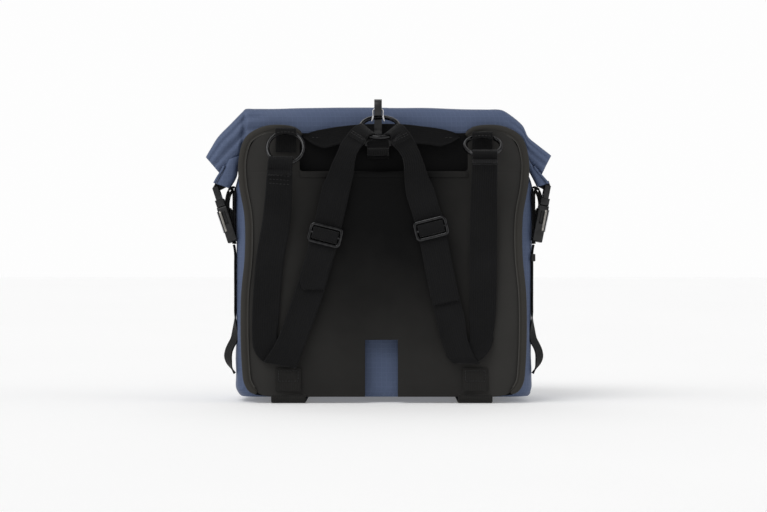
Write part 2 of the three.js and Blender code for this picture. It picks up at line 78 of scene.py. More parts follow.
class Nodes:
    """A material's node tree, with a short way to add and link nodes."""

    def __init__(self, name):
        self.material = bpy.data.materials.new(name)
        self.material.use_nodes = True
        self.tree = self.material.node_tree
        self.shader = self.tree.nodes["Principled BSDF"]

    def add(self, kind, **values):
        node = self.tree.nodes.new(kind)
        for key, value in values.items():
            if key in node.inputs:
                node.inputs[key].default_value = value
            else:
                setattr(node, key, value)
        return node

    def link(self, source, target):
        self.tree.links.new(source, target)

    def math(self, operation, first, second=0.0):
        node = self.add("ShaderNodeMath", operation=operation)
        for socket, value in zip(node.inputs, (first, second)):
            if isinstance(value, (int, float)):
                socket.default_value = value
            else:
                self.link(value, socket)
        return node.outputs[0]

    def ramp(self, factor, low, high, colors):
        node = self.add("ShaderNodeValToRGB")
        node.color_ramp.elements[0].position = low
        node.color_ramp.elements[1].position = high
        for element, color in zip(node.color_ramp.elements, colors):
            element.color = (*color, 1)
        self.link(factor, node.inputs[0])
        return node.outputs[0]

    def spread(self, factor, low, high):
        node = self.add("ShaderNodeMapRange")
        node.inputs["To Min"].default_value = low
        node.inputs["To Max"].default_value = high
        self.link(factor, node.inputs["Value"])
        return node.outputs[0]

    def noise(self, place, scale, detail=4.0):
        node = self.add("ShaderNodeTexNoise", Scale=scale, Detail=detail)
        self.link(place, node.inputs["Vector"])
        return node.outputs[0]

    def bump(self, height, distance, strength=1.0, before=None):
        node = self.add("ShaderNodeBump", Strength=strength, Distance=distance)
        self.link(height, node.inputs["Height"])
        if before is not None:
            self.link(before, node.inputs["Normal"])
        return node.outputs[0]

    def place(self):
        return self.add("ShaderNodeTexCoord").outputs["Object"]

    def split(self, vector):
        node = self.add("ShaderNodeSeparateXYZ")
        self.link(vector, node.inputs[0])
        return node.outputs

    def ease(self, value, low, high):
        """A smooth step from 0 at low to 1 at high."""
        node = self.add("ShaderNodeMapRange", interpolation_type="SMOOTHSTEP")
        node.inputs["From Min"].default_value = low
        node.inputs["From Max"].default_value = high
        self.link(value, node.inputs["Value"])
        return node.outputs[0]

    def set(self, **sockets):
        """Links outputs to the shader's sockets."""
        for key, source in sockets.items():
            self.link(source, self.shader.inputs[key.replace("_", " ")])

    def uv(self):
        return self.split(self.add("ShaderNodeUVMap", uv_map="strap").outputs[0])[:2]

    def mixed(self, first, share, second):
        """A share of the first and the rest of the second."""
        return self.math("ADD", self.math("MULTIPLY", first, share), self.math("MULTIPLY", second, 1 - share))

    def threads(self, position, pitch):
        """A rounded wave that repeats at each thread, from 0 to 1."""
        turn = self.math("MULTIPLY", position, 2 * math.pi / pitch)
        return self.math("ADD", self.math("MULTIPLY", self.math("SINE", turn), 0.5), 0.5)

    def done(self, **values):
        for key, value in values.items():
            self.shader.inputs[key.replace("_", " ")].default_value = value
        return self.material


def blue_fabric():
    """Coated ripstop: a fine weave with a stronger thread each few millimetres."""
    m = Nodes("blue_ripstop")
    place = m.place()
    x, y, up = m.split(place)
    across = m.math("ADD", x, y)
    weave = m.math("MULTIPLY", m.threads(across, 1.3 * MM), m.threads(up, 1.3 * MM))
    rip = m.math("MAXIMUM", *(m.math("POWER", m.threads(way, 5.2 * MM), 24.0) for way in (across, up)))
    clouds = m.noise(place, 9.0)
    speckle = m.noise(place, 900.0, 2.0)
    color = m.ramp(m.mixed(clouds, 0.7, speckle), 0.3, 0.7, [(0.060, 0.086, 0.160), (0.083, 0.113, 0.196)])
    lift = m.add("ShaderNodeMix", data_type="RGBA", blend_type="ADD")
    m.link(m.math("MULTIPLY", rip, 0.35), lift.inputs["Factor"])
    m.link(color, lift.inputs[6])
    lift.inputs[7].default_value = (0.035, 0.045, 0.07, 1)
    height = m.math("ADD", weave, m.math("MULTIPLY", rip, 1.6))
    fine = m.bump(height, 0.12 * MM, 0.7)
    m.set(Base_Color=lift.outputs[2], Roughness=m.spread(m.noise(place, 40.0), 0.50, 0.66),
          Normal=m.bump(m.noise(place, 28.0, 3.0), 1.2 * MM, 0.5, fine))
    return m.done(Specular_IOR_Level=0.35, Sheen_Weight=0.12, Sheen_Roughness=0.4)


def film(name, dark, light, rough):
    """Welded film with a fine leathery grain, painted paler towards the bag's sides and foot to stand in for
    the light those parts catch.
    """
    m = Nodes(name)
    place = m.place()
    x, _, z = m.split(place)
    foot = m.ease(z, 0.20, 0.04)
    side = m.ease(m.math("ABSOLUTE", x), 0.03, 0.14)
    # Painted light: paler near the foot and to the sides for the light caught there, then mixed with random
    # clouds
    painted_light_share = m.math("MAXIMUM", m.math("MULTIPLY", foot, 0.6), side)
    clouds = m.noise(place, 12.0, 3.0)
    tone = m.mixed(painted_light_share, 0.6, clouds)
    cells = m.add("ShaderNodeTexVoronoi", Scale=1500.0, feature="SMOOTH_F1")
    m.link(place, cells.inputs["Vector"])
    fine = m.bump(cells.outputs["Distance"], 0.05 * MM, 0.5)
    m.set(Base_Color=m.ramp(tone, 0.2, 0.85, [dark, light]), Roughness=m.spread(clouds, rough, rough + 0.16),
          Normal=m.bump(m.noise(place, 45.0, 3.0), 0.5 * MM, 0.35, fine))
    return m.done(Specular_IOR_Level=0.1)


def webbing(name, dark, light):
    """Woven webbing: ribs across the strap, staggered by column."""
    m = Nodes(name)
    along, across = m.uv()
    column = m.threads(across, 2.4 * MM)
    stagger = m.math("MULTIPLY", m.math("GREATER_THAN", column, 0.5), 0.55 * MM)
    ribs = m.threads(m.math("ADD", along, stagger), 1.1 * MM)
    weave = m.math("MULTIPLY", ribs, m.math("ADD", m.math("MULTIPLY", column, 0.6), 0.4))
    place = m.place()
    fuzz = m.noise(place, 1800.0, 2.0)
    wear = m.noise(place, 22.0, 4.0)
    tone = m.mixed(weave, 0.5, wear)
    fine = m.bump(weave, 0.3 * MM, 0.9)
    m.set(Base_Color=m.ramp(tone, 0.25, 0.8, [dark, light]), Roughness=m.spread(fuzz, 0.7, 0.9),
          Normal=m.bump(fuzz, 0.08 * MM, 0.5, fine))
    return m.done(Specular_IOR_Level=0.15, Sheen_Weight=0.07, Sheen_Roughness=0.35)


def thread():
    """Sewing thread, a little glossier than the webbing it lies on."""
    m = Nodes("sewing_thread")
    twist = m.noise(m.place(), 2500.0, 2.0)
    m.set(Base_Color=m.ramp(twist, 0.35, 0.65, [(0.007, 0.007, 0.0075), (0.026, 0.026, 0.027)]))
    return m.done(Roughness=0.5, Specular_IOR_Level=0.4)


def plastic():
    """Moulded plastic with a fine spark grain and scuffs."""
    m = Nodes("moulded_plastic")
    place = m.place()
    scuffs = m.noise(place, 160.0, 6.0)
    m.set(Base_Color=m.ramp(scuffs, 0.4, 0.75, [(0.007, 0.007, 0.0075), (0.02, 0.02, 0.021)]),
          Roughness=m.spread(scuffs, 0.32, 0.5), Normal=m.bump(m.noise(place, 1400.0, 3.0), 0.06 * MM, 0.6))
    return m.done(Specular_IOR_Level=0.4)


def metal(name, dark, light, rough):
    """Plated metal with faint handling marks."""
    m = Nodes(name)
    place = m.place()
    marks = m.noise(place, 260.0, 5.0)
    m.set(Base_Color=m.ramp(marks, 0.3, 0.7, [dark, light]), Roughness=m.spread(marks, rough, rough + 0.12),
          Normal=m.bump(m.noise(place, 900.0, 3.0), 0.02 * MM, 0.5))
    return m.done(Metallic=1.0)


def board():
    """Extruded plastic sheet with fine flutes."""
    m = Nodes("stiff_sheet")
    place = m.place()
    flutes = m.threads(m.split(place)[0], 3 * MM)
    m.set(Base_Color=m.ramp(m.noise(place, 60.0), 0.3, 0.7, [(0.022, 0.023, 0.025), (0.036, 0.037, 0.04)]),
          Normal=m.bump(flutes, 0.2 * MM, 0.6))
    return m.done(Roughness=0.55)


MATERIALS = {
    "blue_fabric": blue_fabric(),
    "black_panel": film("black_film", (0.0013, 0.0013, 0.0014), (0.0330, 0.0318, 0.0300), 0.45),
    "webbing": webbing("woven_webbing", (0.0030, 0.0030, 0.0033), (0.0105, 0.0105, 0.0112)),
    "black_plastic": plastic(),
    "dark_metal": metal("gunmetal", (0.022, 0.022, 0.023), (0.045, 0.045, 0.046), 0.16),
    "bright_metal": metal("bright_plate", (0.55, 0.55, 0.57), (0.72, 0.72, 0.74), 0.1),
    "stiff_board": board(),
}
THREAD = thread()
WELT = film("welded_edge", (0.0200, 0.0190, 0.0175), (0.0370, 0.0350, 0.0315), 0.5)
WELD_LINE = film("weld_line", (0.0380, 0.0365, 0.0340), (0.0620, 0.0600, 0.0560), 0.45)
# Painted shade: a darker copy of the black film for the liner, standing in for the shade it lies in
SHADED_LINING = film("lining_film", (0.0012, 0.0012, 0.0014), (0.0050, 0.0050, 0.0052), 0.5)
SHADED_WEBBING = webbing("anchor_webbing", (0.0014, 0.0014, 0.0016), (0.0050, 0.0050, 0.0054))
# A darker, rougher copy of the bright plate metal, for the plate's turned edge
DULL_PLATE = metal("darker_plate", (0.27, 0.26, 0.24), (0.42, 0.40, 0.37), 0.34)
# Painted light: a lighter copy of the webbing for the base straps and their patches, standing in for the light
# they catch
LIT_BASE_WEBBING = webbing("base_webbing", (0.0110, 0.0106, 0.0100), (0.0250, 0.0242, 0.0230))


# ---------------------------------------------------------------- shapes

def wobble(point, scale, amount):
    """A smooth, repeatable offset at a place."""
    return noise.noise(Vector(point) / scale) * amount


def smoothstep(low, high, value):
    t = min(1.0, max(0.0, (value - low) / (high - low)))
    return t * t * (3 - 2 * t)


def reach_of(points, power=1.0):
    """The distance along a line of points to each of them."""
    return np.concatenate([[0], np.cumsum(np.linalg.norm(np.diff(points, axis=0), axis=1) ** power)])


def sample(points, reach, at):
    """Places on a line of points at given distances along it."""
    return np.stack([np.interp(at, reach, points[:, c]) for c in range(points.shape[1])], axis=1)


def even_points(points, count, endpoint=True):
    """Points evenly spaced along a line of points."""
    reach = reach_of(points)
    return sample(points, reach, np.linspace(0, reach[-1], count, endpoint=endpoint))


def between(t, first, last, a, b):
    """The value at t on a straight line that is a at first and b at last."""
    return ((last - t) * a + (t - first) * b) / (last - first)


def spline(points, count):
    """Points evenly spaced along a smooth curve through the given ones, whatever their dimension."""
    p = np.array(points, float)
    knots = reach_of(p, 0.5)
    q = np.vstack([2 * p[0] - p[1], p, 2 * p[-1] - p[-2]])
    k = np.concatenate([[2 * knots[0] - knots[1]], knots, [2 * knots[-1] - knots[-2]]])
    fine = np.linspace(knots[0], knots[-1], count * 8)
    made = []
    for t in fine:
        i = int(min(max(np.searchsorted(k, t, side="right") - 1, 1), len(k) - 3))
        a1, a2, a3 = (between(t, k[i + n], k[i + n + 1], q[i + n], q[i + n + 1]) for n in (-1, 0, 1))
        b1 = between(t, k[i - 1], k[i + 1], a1, a2)
        b2 = between(t, k[i], k[i + 2], a2, a3)
        made.append(between(t, k[i], k[i + 1], b1, b2))
    return even_points(np.array(made), count)


def attach(obj, body, replaced=()):
    """Rides on one body; when body is (first, second, start, end), its place is only baked into its mesh."""
    if isinstance(body, tuple):
        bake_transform(obj)
    else:
        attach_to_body(obj, body)
    if replaced:
        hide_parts(*replaced)
    return obj


def new_object(name, mesh):
    obj = bpy.data.objects.new(name, mesh)
    bpy.context.scene.collection.objects.link(obj)
    return obj


def piece(name, shape, body, slot, replaced=(), material=None, uvs=None, thick=0.0):
    """A smooth mesh object on its body, from (points, faces). thick gives a sheet a back."""
    points, faces = shape
    mesh = bpy.data.meshes.new(name)
    mesh.from_pydata([tuple(map(float, p)) for p in points], [], [tuple(map(int, f)) for f in faces])
    mesh.validate()
    if uvs is not None:
        layer = mesh.uv_layers.new(name="strap")
        for loop in mesh.loops:
            layer.data[loop.index].uv = uvs[loop.vertex_index]
    mesh.materials.append(material or MATERIALS[slot])
    mesh.shade_smooth()
    obj = new_object(name, mesh)
    if thick:
        apply_modifier(obj, "SOLIDIFY", thickness=thick, offset=-1.0, use_quality_normals=True)
    return attach(obj, body, replaced)


def apply_modifier(obj, kind, **values):
    modifier = obj.modifiers.new(kind.lower(), kind)
    for key, value in values.items():
        setattr(modifier, key, value)
    graph = bpy.context.evaluated_depsgraph_get()
    made = bpy.data.meshes.new_from_object(obj.evaluated_get(graph))
    obj.modifiers.clear()
    obj.data = made


def loft(sections, closed=False, caps=(True, True)):
    """Faces of a tube through rings of equal length. closed joins the last ring to the first."""
    sections = np.array(sections, float)
    rings, count = sections.shape[:2]
    points = list(sections.reshape(-1, 3))
    faces = []
    for i in range(rings if closed else rings - 1):
        for j in range(count):
            k, n = (j + 1) % count, (i + 1) % rings
            faces.append((i * count + j, i * count + k, n * count + k, n * count + j))
    for ring, turn, wanted in ((0, -1, caps[0]), (rings - 1, 1, caps[1])):
        if wanted and not closed:
            points.append(sections[ring].mean(axis=0))
            middle = len(points) - 1
            for j in range(count):
                pair = (ring * count + j, ring * count + (j + 1) % count)
                faces.append((middle, *pair[::turn]))
    return points, faces


# The places of a ribbon's points from its middle to one edge, as shares of half its width
HALF_COLUMNS = [0.28, 0.55, 0.8, 0.87, 0.94, 0.985, 1]
COLUMNS = np.array([-c for c in HALF_COLUMNS[::-1]] + [0] + HALF_COLUMNS)


def ribbon(name, edges, body, replaced=(), thick=WEBBING_THICK, steps=60, crown=0.0, material=None):
    """Webbing through pairs of edge points, with a rounded, slightly thicker edge and UVs in metres."""
    pairs = spline([list(a) + list(b) for a, b in edges], steps)
    left, right = pairs[:, :3], pairs[:, 3:]
    middle = (left + right) / 2
    along = np.gradient(middle, axis=0)
    across = right - left
    width = np.linalg.norm(across, axis=1)
    normal = np.cross(along, across)
    normal /= np.linalg.norm(normal, axis=1)[:, None]
    reach = reach_of(middle)
    bead = np.where(np.abs(COLUMNS) > 0.86, 1.12, 1.0)
    rounding = np.clip(1 - (np.clip(np.abs(COLUMNS) - 0.9, 0, 1) / 0.1) ** 2, 0.02, 1)
    half = thick / 2 * np.sqrt(rounding) * bead
    ring = list(zip(COLUMNS, half)) + list(zip(COLUMNS[::-1], -half[::-1]))
    sections, uvs = [], []
    for m, a, n, r, w in zip(middle, across, normal, reach, width):
        sections.append([m + a * c / 2 + n * (h + crown * (1 - c * c)) for c, h in ring])
        uvs += [(r, (c + 1) / 2 * w) for c, _ in ring]
    uvs += [(0, 0), (reach[-1], 0)]
    return piece(name, loft(sections), body, "webbing", replaced, material, uvs)


def strap(name, line, widths, facing, body, **options):
    """Webbing along a centre line, its face turned towards the facing direction."""
    line = np.array(line, float)
    along = np.gradient(line, axis=0)
    facings = facing if np.ndim(facing) > 1 else [facing] * len(line)
    sizes = widths if np.ndim(widths) else [widths] * len(line)
    edges = []
    for p, t, w, f in zip(line, along, sizes, facings):
        side = np.cross(np.array(f, float), t)
        side /= np.linalg.norm(side)
        edges.append((p - side * w / 2, p + side * w / 2))
    return ribbon(name, edges, body, **options)


def profile_strap(name, x, width, rows, body, **options):
    """Webbing at one place across, from rows of depth, up, and how much it faces outwards (+Y) and up."""
    line = [(x, y, z) for y, z, _, _ in rows]
    facing = [(0, out, up) for _, _, out, up in rows]
    return strap(name, line, width, facing, body, **options)


def tube(path, radius, closed=False, sides=12, flat=1.0):
    """Rings of a round or flattened bar along a path."""
    path = np.array(path, float)
    beside = np.roll(path, -1, axis=0) - np.roll(path, 1, axis=0)
    along = beside if closed else np.gradient(path, axis=0)
    along /= np.linalg.norm(along, axis=1)[:, None]
    side = np.cross(along[0], (0.0, 1.0, 0.0))
    if np.linalg.norm(side) < 0.1:
        side = np.cross(along[0], (1.0, 0.0, 0.0))
    turns = np.linspace(0, 2 * math.pi, sides, endpoint=False)
    sections = []
    for p, t in zip(path, along):
        side = side - t * (side @ t)
        side /= np.linalg.norm(side)
        other = np.cross(t, side) * flat
        sections.append([p + (side * math.cos(a) + other * math.sin(a)) * radius for a in turns])
    return loft(sections, closed)


def join(*parts):
    """Several (points, faces) as one."""
    points, faces = [], []
    for more_points, more_faces in parts:
        base = len(points)
        points += list(more_points)
        faces += [tuple(i + base for i in f) for f in more_faces]
    return points, faces


STITCH_PITCH = 3.2 * MM
STITCH_LENGTH = 2.3 * MM
STITCH_RADIUS = 0.33 * MM


def stitches(name, line, body, facing=(0, -1, 0)):
    """A row of thread stitches along a line of points, lying on the cloth."""
    line = np.array(line, float)
    reach = reach_of(line)
    count = max(1, int(reach[-1] / STITCH_PITCH))
    rise = np.sin(np.linspace(0, math.pi, 5))[:, None] * STITCH_RADIUS * 0.7
    parts = []
    for i in range(count):
        start = (i + 0.5) * reach[-1] / count - STITCH_LENGTH / 2
        path = sample(line, reach, np.linspace(start, start + STITCH_LENGTH, 5))
        parts.append(tube(path + rise * np.array(facing), STITCH_RADIUS, sides=6))
    piece(name, join(*parts), body, "webbing", material=THREAD)


def seam_rows(name, first, second, shares, lift, body, facing=(0, -1, 0)):
    """Rows of stitches across a strap, at shares of the way from one edge pair to the next."""
    (a, b), (c, d) = first, second
    for k in shares:
        left, right = a + (c - a) * k, b + (d - b) * k
        row = [left + (right - left) * t + lift for t in np.linspace(0.1, 0.9, 9)]
        stitches(f"{name}_{int(k * 100)}", row, body, facing)


def corners_of(node):
    """The points of a CAD node's mesh."""
    return np.array([v.co for v in frame["nodes"][node].data.vertices])


def joint_of(name):
    return next(joint for joint in frame["joints"] if joint["name"] == name)


def cuts_of(node, heights):
    """The points where level planes cut a CAD node's edges, for each height."""
    co = corners_of(node)
    ends = np.array([e.vertices for e in frame["nodes"][node].data.edges])
    a, b = co[ends[:, 0]], co[ends[:, 1]]
    for z in heights:
        cut = (a[:, 2] - z) * (b[:, 2] - z) < 0
        t = (z - a[cut, 2]) / (b[cut, 2] - a[cut, 2])
        yield a[cut] + (b[cut] - a[cut]) * t[:, None]


def slices(node, heights):
    """Left, right and middle depth of a CAD node where level planes cut it."""
    rows = zip(cuts_of(node, heights), heights)
    return np.array([(p[:, 0].min(), p[:, 0].max(), (p[:, 1].min() + p[:, 1].max()) / 2, z) for p, z in rows])


def leg_line(node, count=9, lowest=None, highest=None):
    """The centre line and widths of a strap leg, read from its CAD solid."""
    low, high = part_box(node)
    bottom = lowest or low.z + 6 * MM
    top = highest or high.z - 6 * MM
    cuts = slices(node, np.linspace(bottom, top, count))
    line = np.stack([(cuts[:, 0] + cuts[:, 1]) / 2, cuts[:, 2], cuts[:, 3]], axis=1)
    along = np.gradient(line, axis=0)
    lean = np.abs(along[:, 2]) / np.hypot(along[:, 0], along[:, 2])
    return line, (cuts[:, 1] - cuts[:, 0]) * lean


def refined(name, node, body, slot, bevel):
    """A CAD solid's shape with its edges rounded, for a moulded or machined piece."""
    mesh = frame["nodes"][node].data.copy()
    obj = new_object(name, mesh)
    work = bmesh.new()
    work.from_mesh(mesh)
    bmesh.ops.remove_doubles(work, verts=work.verts, dist=0.01 * MM)
    bmesh.ops.dissolve_limit(work, angle_limit=math.radians(1.5), verts=work.verts, edges=work.edges)
    work.to_mesh(mesh)
    work.free()
    mesh.materials.clear()
    mesh.materials.append(MATERIALS[slot])
    if bevel:
        apply_modifier(obj, "BEVEL", width=bevel, segments=3, limit_method="ANGLE",
                       angle_limit=math.radians(25), harden_normals=False)
    obj.data.shade_smooth()
    work = bmesh.new()
    work.from_mesh(obj.data)
    for edge in work.edges:
        if len(edge.link_faces) == 2 and edge.calc_face_angle(0) > math.radians(50):
            edge.smooth = False
    work.to_mesh(obj.data)
    work.free()
    return attach(obj, body, (node,))


# ---------------------------------------------------------------- blue body, collar and roll

def rounded_ring(half_x, half_y, back, front, count=176):
    """A rounded rectangle's points from the middle of its back towards +X."""
    corners = ((1, -1, -90, back), (1, 1, 0, front), (-1, 1, 90, front), (-1, -1, 180, back))
    path = [(0, -half_y)]
    for cx, cy, start, corner in corners:
        corner = min(corner, half_x * 0.98, half_y * 0.98)
        for a in np.radians(np.linspace(start, start + 90, 24)):
            across, deep = corner * math.cos(a), corner * math.sin(a)
            path.append((cx * (half_x - corner) + across, cy * (half_y - corner) + deep))
    return even_points(np.array(path + [(0, -half_y)]), count, endpoint=False)


BASE_ROUNDING = 12 * MM
BACK_CORNER = 19 * MM
FRONT_CORNER = 46 * MM
MOUTH_CORNER = 6 * MM
MOUTH_HALF_DEPTH = 9 * MM
ROLL_Y = (roll_low.y + roll_high.y) / 2


def bag_row(z):
    """The half sizes, back and front corner radii and depth middle of the fabric at one height."""
    share = smoothstep(RIM_Z - 4 * MM, roll_low.z + 2 * MM, z) ** 0.75
    narrow = (roll_high.x + 6 * MM) / body_high.x
    under = max(0.0, body_low.z + BASE_ROUNDING - z) / BASE_ROUNDING
    half_y = (body_high.y - body_low.y) / 2
    return (
        body_high.x * (1 + (narrow - 1) * share) * (1 - 0.035 * under ** 2.4),
        half_y * (1 - share) * (1 - 0.055 * under ** 2.2) + MOUTH_HALF_DEPTH * share,
        BACK_CORNER * (1 - share) + MOUTH_CORNER * share,
        FRONT_CORNER * (1 - share) + MOUTH_CORNER * share,
        (body_high.y + body_low.y) / 2 * (1 - share) + ROLL_Y * share,
    )


def bag_shell():
    """Body and collar as one fabric shell, which sags between its seams, folds in at the top and lies taut
    under the side straps."""
    strap_low, strap_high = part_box("side_strap_right")
    strap_y = (strap_low.y + strap_high.y) / 2
    taut_x = strap_low.x - 0.7 * MM
    heights = list(body_low.z + BASE_ROUNDING * (1 - np.cos(np.linspace(0, math.pi / 2, 7))))
    heights += list(np.linspace(body_low.z + 16 * MM, RIM_Z - 14 * MM, 44))
    heights += list(np.linspace(RIM_Z - 10 * MM, roll_low.z + 6 * MM, 20))
    sections = []
    for z in heights:
        half_x, half_y, back, front, middle = bag_row(z)
        tall = min(1.0, max(0.0, (z - body_low.z) / (RIM_Z - body_low.z)))
        belly = math.sin(math.pi * tall) ** 0.7
        gather = smoothstep(RIM_Z - 30 * MM, roll_low.z, z)
        row = []
        for x, y in rounded_ring(half_x, half_y, back, front):
            far = smoothstep(0.0, half_y, y)
            flank = smoothstep(half_x - 12 * MM, half_x, abs(x))
            gusset = flank * smoothstep(half_y * 0.95, half_y * 0.2, abs(y - half_y * 0.2))
            out = 2.6 * MM * flank * (0.6 + 0.4 * belly) - 9 * MM * gusset * gather * (1 - gather)
            y += far * belly * (2.5 * MM - 6 * MM * (abs(x) / body_high.x) ** 3)
            point = np.array((x + math.copysign(out, x), y + middle, z))
            loose = 0.3 + 0.5 * flank + 0.9 * gather + 0.5 * smoothstep(0.06, 0.01, z)
            fold = wobble((x, y + middle, z * 0.55), 0.045, 2.2 * MM) + wobble(point, 0.017, 0.8 * MM)
            flat = smoothstep(-half_y * 0.75, -half_y * 0.97, y)
            corner = back if y < 0 else front
            point += outward(x, y, half_x, half_y, corner) * fold * loose * (1 - 0.85 * flat)
            held = smoothstep(18 * MM, 11 * MM, abs(point[1] - strap_y))
            held *= smoothstep(strap_high.z + 12 * MM, strap_high.z, z)
            beyond = abs(point[0]) - taut_x
            if beyond > 0:
                point[0] -= math.copysign(beyond * held, point[0])
            row.append(point)
        sections.append(row)
    points, faces = loft(sections, caps=(False, False))
    faces += bottom_faces(points, len(sections[0]))
    body = ("bag", "roll", (0, 0, RIM_Z + 2 * MM), (0, 0, roll_low.z + 1 * MM))
    piece("bag_shell", (points, faces), body, "blue_fabric", ("bag_body", "roll_collar"), thick=0.9 * MM)


def outward(x, y, half_x, half_y, corner):
    """The direction out of a rounded rectangle at one of its points."""
    dx = max(0.0, abs(x) - (half_x - corner)) * math.copysign(1, x)
    dy = max(0.0, abs(y) - (half_y - corner)) * math.copysign(1, y)
    size = math.hypot(dx, dy) or 1.0
    return np.array((dx / size, dy / size, 0.0))


def bottom_faces(points, count):
    """Closes the base with rings that shrink to its middle, and adds those points to the list."""
    base = np.array(points[:count])
    middle = base.mean(axis=0)
    faces, last = [], list(range(count))
    for share in (0.85, 0.6, 0.3):
        start = len(points)
        for p in base:
            q = middle + (p - middle) * share
            rise = wobble(q, 0.05, 1.0 * MM) * (1 - share) - 0.2 * MM
            points.append(np.array((q[0], q[1], p[2] + rise)))
        ring = list(range(start, start + count))
        faces += [(last[(j + 1) % count], last[j], ring[j], ring[(j + 1) % count]) for j in range(count)]
        last = ring
    points.append(middle)
    faces += [(last[(j + 1) % count], last[j], len(points) - 1) for j in range(count)]
    return faces


# The rolled mouth with its folded ends, and the short tongues that hold the buckles, in millimetres. Each row,
# from the middle outwards, has across and up of the upper edge, the same of the lower edge, and the depth
ROLL = {
    "left": [
        (4, 318.6, 4, 276.8, 25), (-60, 318.4, -60, 276.6, 25.4), (-120, 317.4, -120, 276.8, 25),
        (-140, 317.2, -140, 277, 24.6), (-149.5, 317.0, -148, 276, 24), (-153.5, 313.2, -151, 273, 23.4),
        (-164, 302.5, -154.5, 266.5, 22.6), (-179, 287.4, -161, 259.5, 20.6),
        (-186.5, 275.5, -169, 253.5, 17.6), (-192, 265.8, -176.6, 248.8, 13),
        (-192.6, 264.6, -178, 247.6, 10),
    ],
    "right": [
        (-16, 318.6, -16, 276.8, 25), (50, 318.0, 50, 276.6, 25.2), (110, 316.2, 110, 276.8, 25),
        (127, 315.6, 128, 277, 24.6), (134, 312.2, 136, 276.4, 24.2), (150, 299.2, 148, 273, 23.6),
        (153.2, 293.6, 151.4, 268, 23), (156, 287.6, 153.6, 263.5, 22), (168, 277.4, 159.5, 256, 18.6),
        (179.6, 268, 169.6, 247.6, 14), (181.4, 266.4, 171.4, 246.0, 10),
    ],
}
TONGUE = {
    "left": [
        (-168, 262, -154, 266, 21), (-173.5, 251, -157.5, 254, 21), (-178.6, 243, -159.6, 243, 20.5),
        (-182.2, 236.4, -166.6, 231, 19.5),
    ],
    "right": [
        (157, 262, 149, 266, 21), (164, 251, 155, 254, 21), (171.4, 242.6, 160.4, 244, 20.5),
        (177.2, 236, 166.4, 232.6, 19.5),
    ],
}


def flat_tube(spans, steps, power, creases=(), loose=1.0, crimp=0.0, caps=(True, True)):
    """A flattened fabric tube through rows of a table. crimp is how strongly its left end is creased."""
    rows = spline(spans, steps) * MM
    sections = []
    for ax, az, bx, bz, depth in rows:
        ring = []
        for k in range(64):
            angle = 2 * math.pi * k / 64
            c, s = math.cos(angle), math.sin(angle)
            t = 0.5 + 0.5 * math.copysign(abs(c) ** 0.8, c)
            side = math.copysign(abs(s) ** power, s) * depth / 2
            x, z = bx + (ax - bx) * t, bz + (az - bz) * t
            outer = smoothstep(0.120, 0.155, abs(x))
            for at, wide, deep in creases:
                side -= math.copysign(deep * MM * math.exp(-((t - at) / wide) ** 2) * outer, side)
            fold = -x - 150 * MM - (roll_high.z - z) * 0.06
            side -= math.copysign(2.4 * MM * math.exp(-(fold / (2.4 * MM)) ** 2), side) * crimp
            side += wobble((x * 1.2, side * 2, z), 0.022, 1.8 * MM) * abs(s) * (0.35 + 0.65 * outer) * loose
            ring.append((x, ROLL_Y + side, z + wobble((x * 0.7, side, z), 0.03, 0.9 * MM) * loose))
        sections.append(ring if rows[-1][0] < rows[0][0] else ring[::-1])
    return loft(sections, caps=caps)


def roll_half(name, sign):
    """Half of the rolled mouth with its folded end."""
    creases = ((0.42, 0.08, 2.6), (0.75, 0.06, 1.6))
    rolled = flat_tube(ROLL[name], 110, 0.58, creases, crimp=float(sign < 0), caps=(False, True))
    body = ("roll", "roll_end_" + name, (sign * 0.130, 0, 0.29), (sign * 0.172, 0, 0.29))
    replaced = ("roll_ear_" + name,) + (("roll_top",) if sign < 0 else ())
    piece("rolled_mouth_" + name, rolled, body, "blue_fabric", replaced)
    tongue = flat_tube(TONGUE[name], 30, 0.42, loose=0.6)
    piece("end_tongue_" + name, tongue, "roll_end_" + name, "blue_fabric")


def end_hem(name, sign):
    """The turned hem along the outer edge of the tongue."""
    line = spline([row[:2] for row in TONGUE[name]], 24) * MM
    path = [(x + sign * 0.6 * MM, ROLL_Y - 9.6 * MM, z) for x, z in line[6:]]
    piece("tongue_hem_" + name, tube(path, 1.3 * MM, sides=10), "roll_end_" + name, "blue_fabric")


# ---------------------------------------------------------------- back panel

# Half of the panel's outline, across and up, from the foot to the end of the shoulder, in millimetres
PANEL = [(108, 7), (140, 9), (149, 20), (152, 40), (153, 112), (148.8, 160), (149.2, 200), (155, 235),
         (155.5, 262), (148, 285), (131, 296), (112, 298.5), (95, 296), (86, 291)]


def edge_of(node, sign, heights, inner=False):
    """How far a CAD panel reaches to one side at each height, or where its shoulder starts."""
    pick = np.min if inner else np.max
    sides = [p[:, 0] * sign for p in cuts_of(node, heights)]
    return np.array([sign * pick(x[x > 0]) for x in sides])


def patch(inner, outer, heights, columns, depth_of):
    """A grid between two edges, each of them one place across or one for each height."""
    inner, outer, _ = np.broadcast_arrays(inner, outer, heights)
    points = []
    for z, a, b in zip(heights, inner, outer):
        for k in range(columns + 1):
            x = a + (b - a) * k / columns
            points.append((x, depth_of(x, z), z))
    n = columns + 1
    faces = []
    for i in range(len(heights) - 1):
        for k in range(columns):
            face = (i * n + k, i * n + k + 1, (i + 1) * n + k + 1, (i + 1) * n + k)
            faces.append(face if outer[0] > inner[0] else face[::-1])
    return points, faces


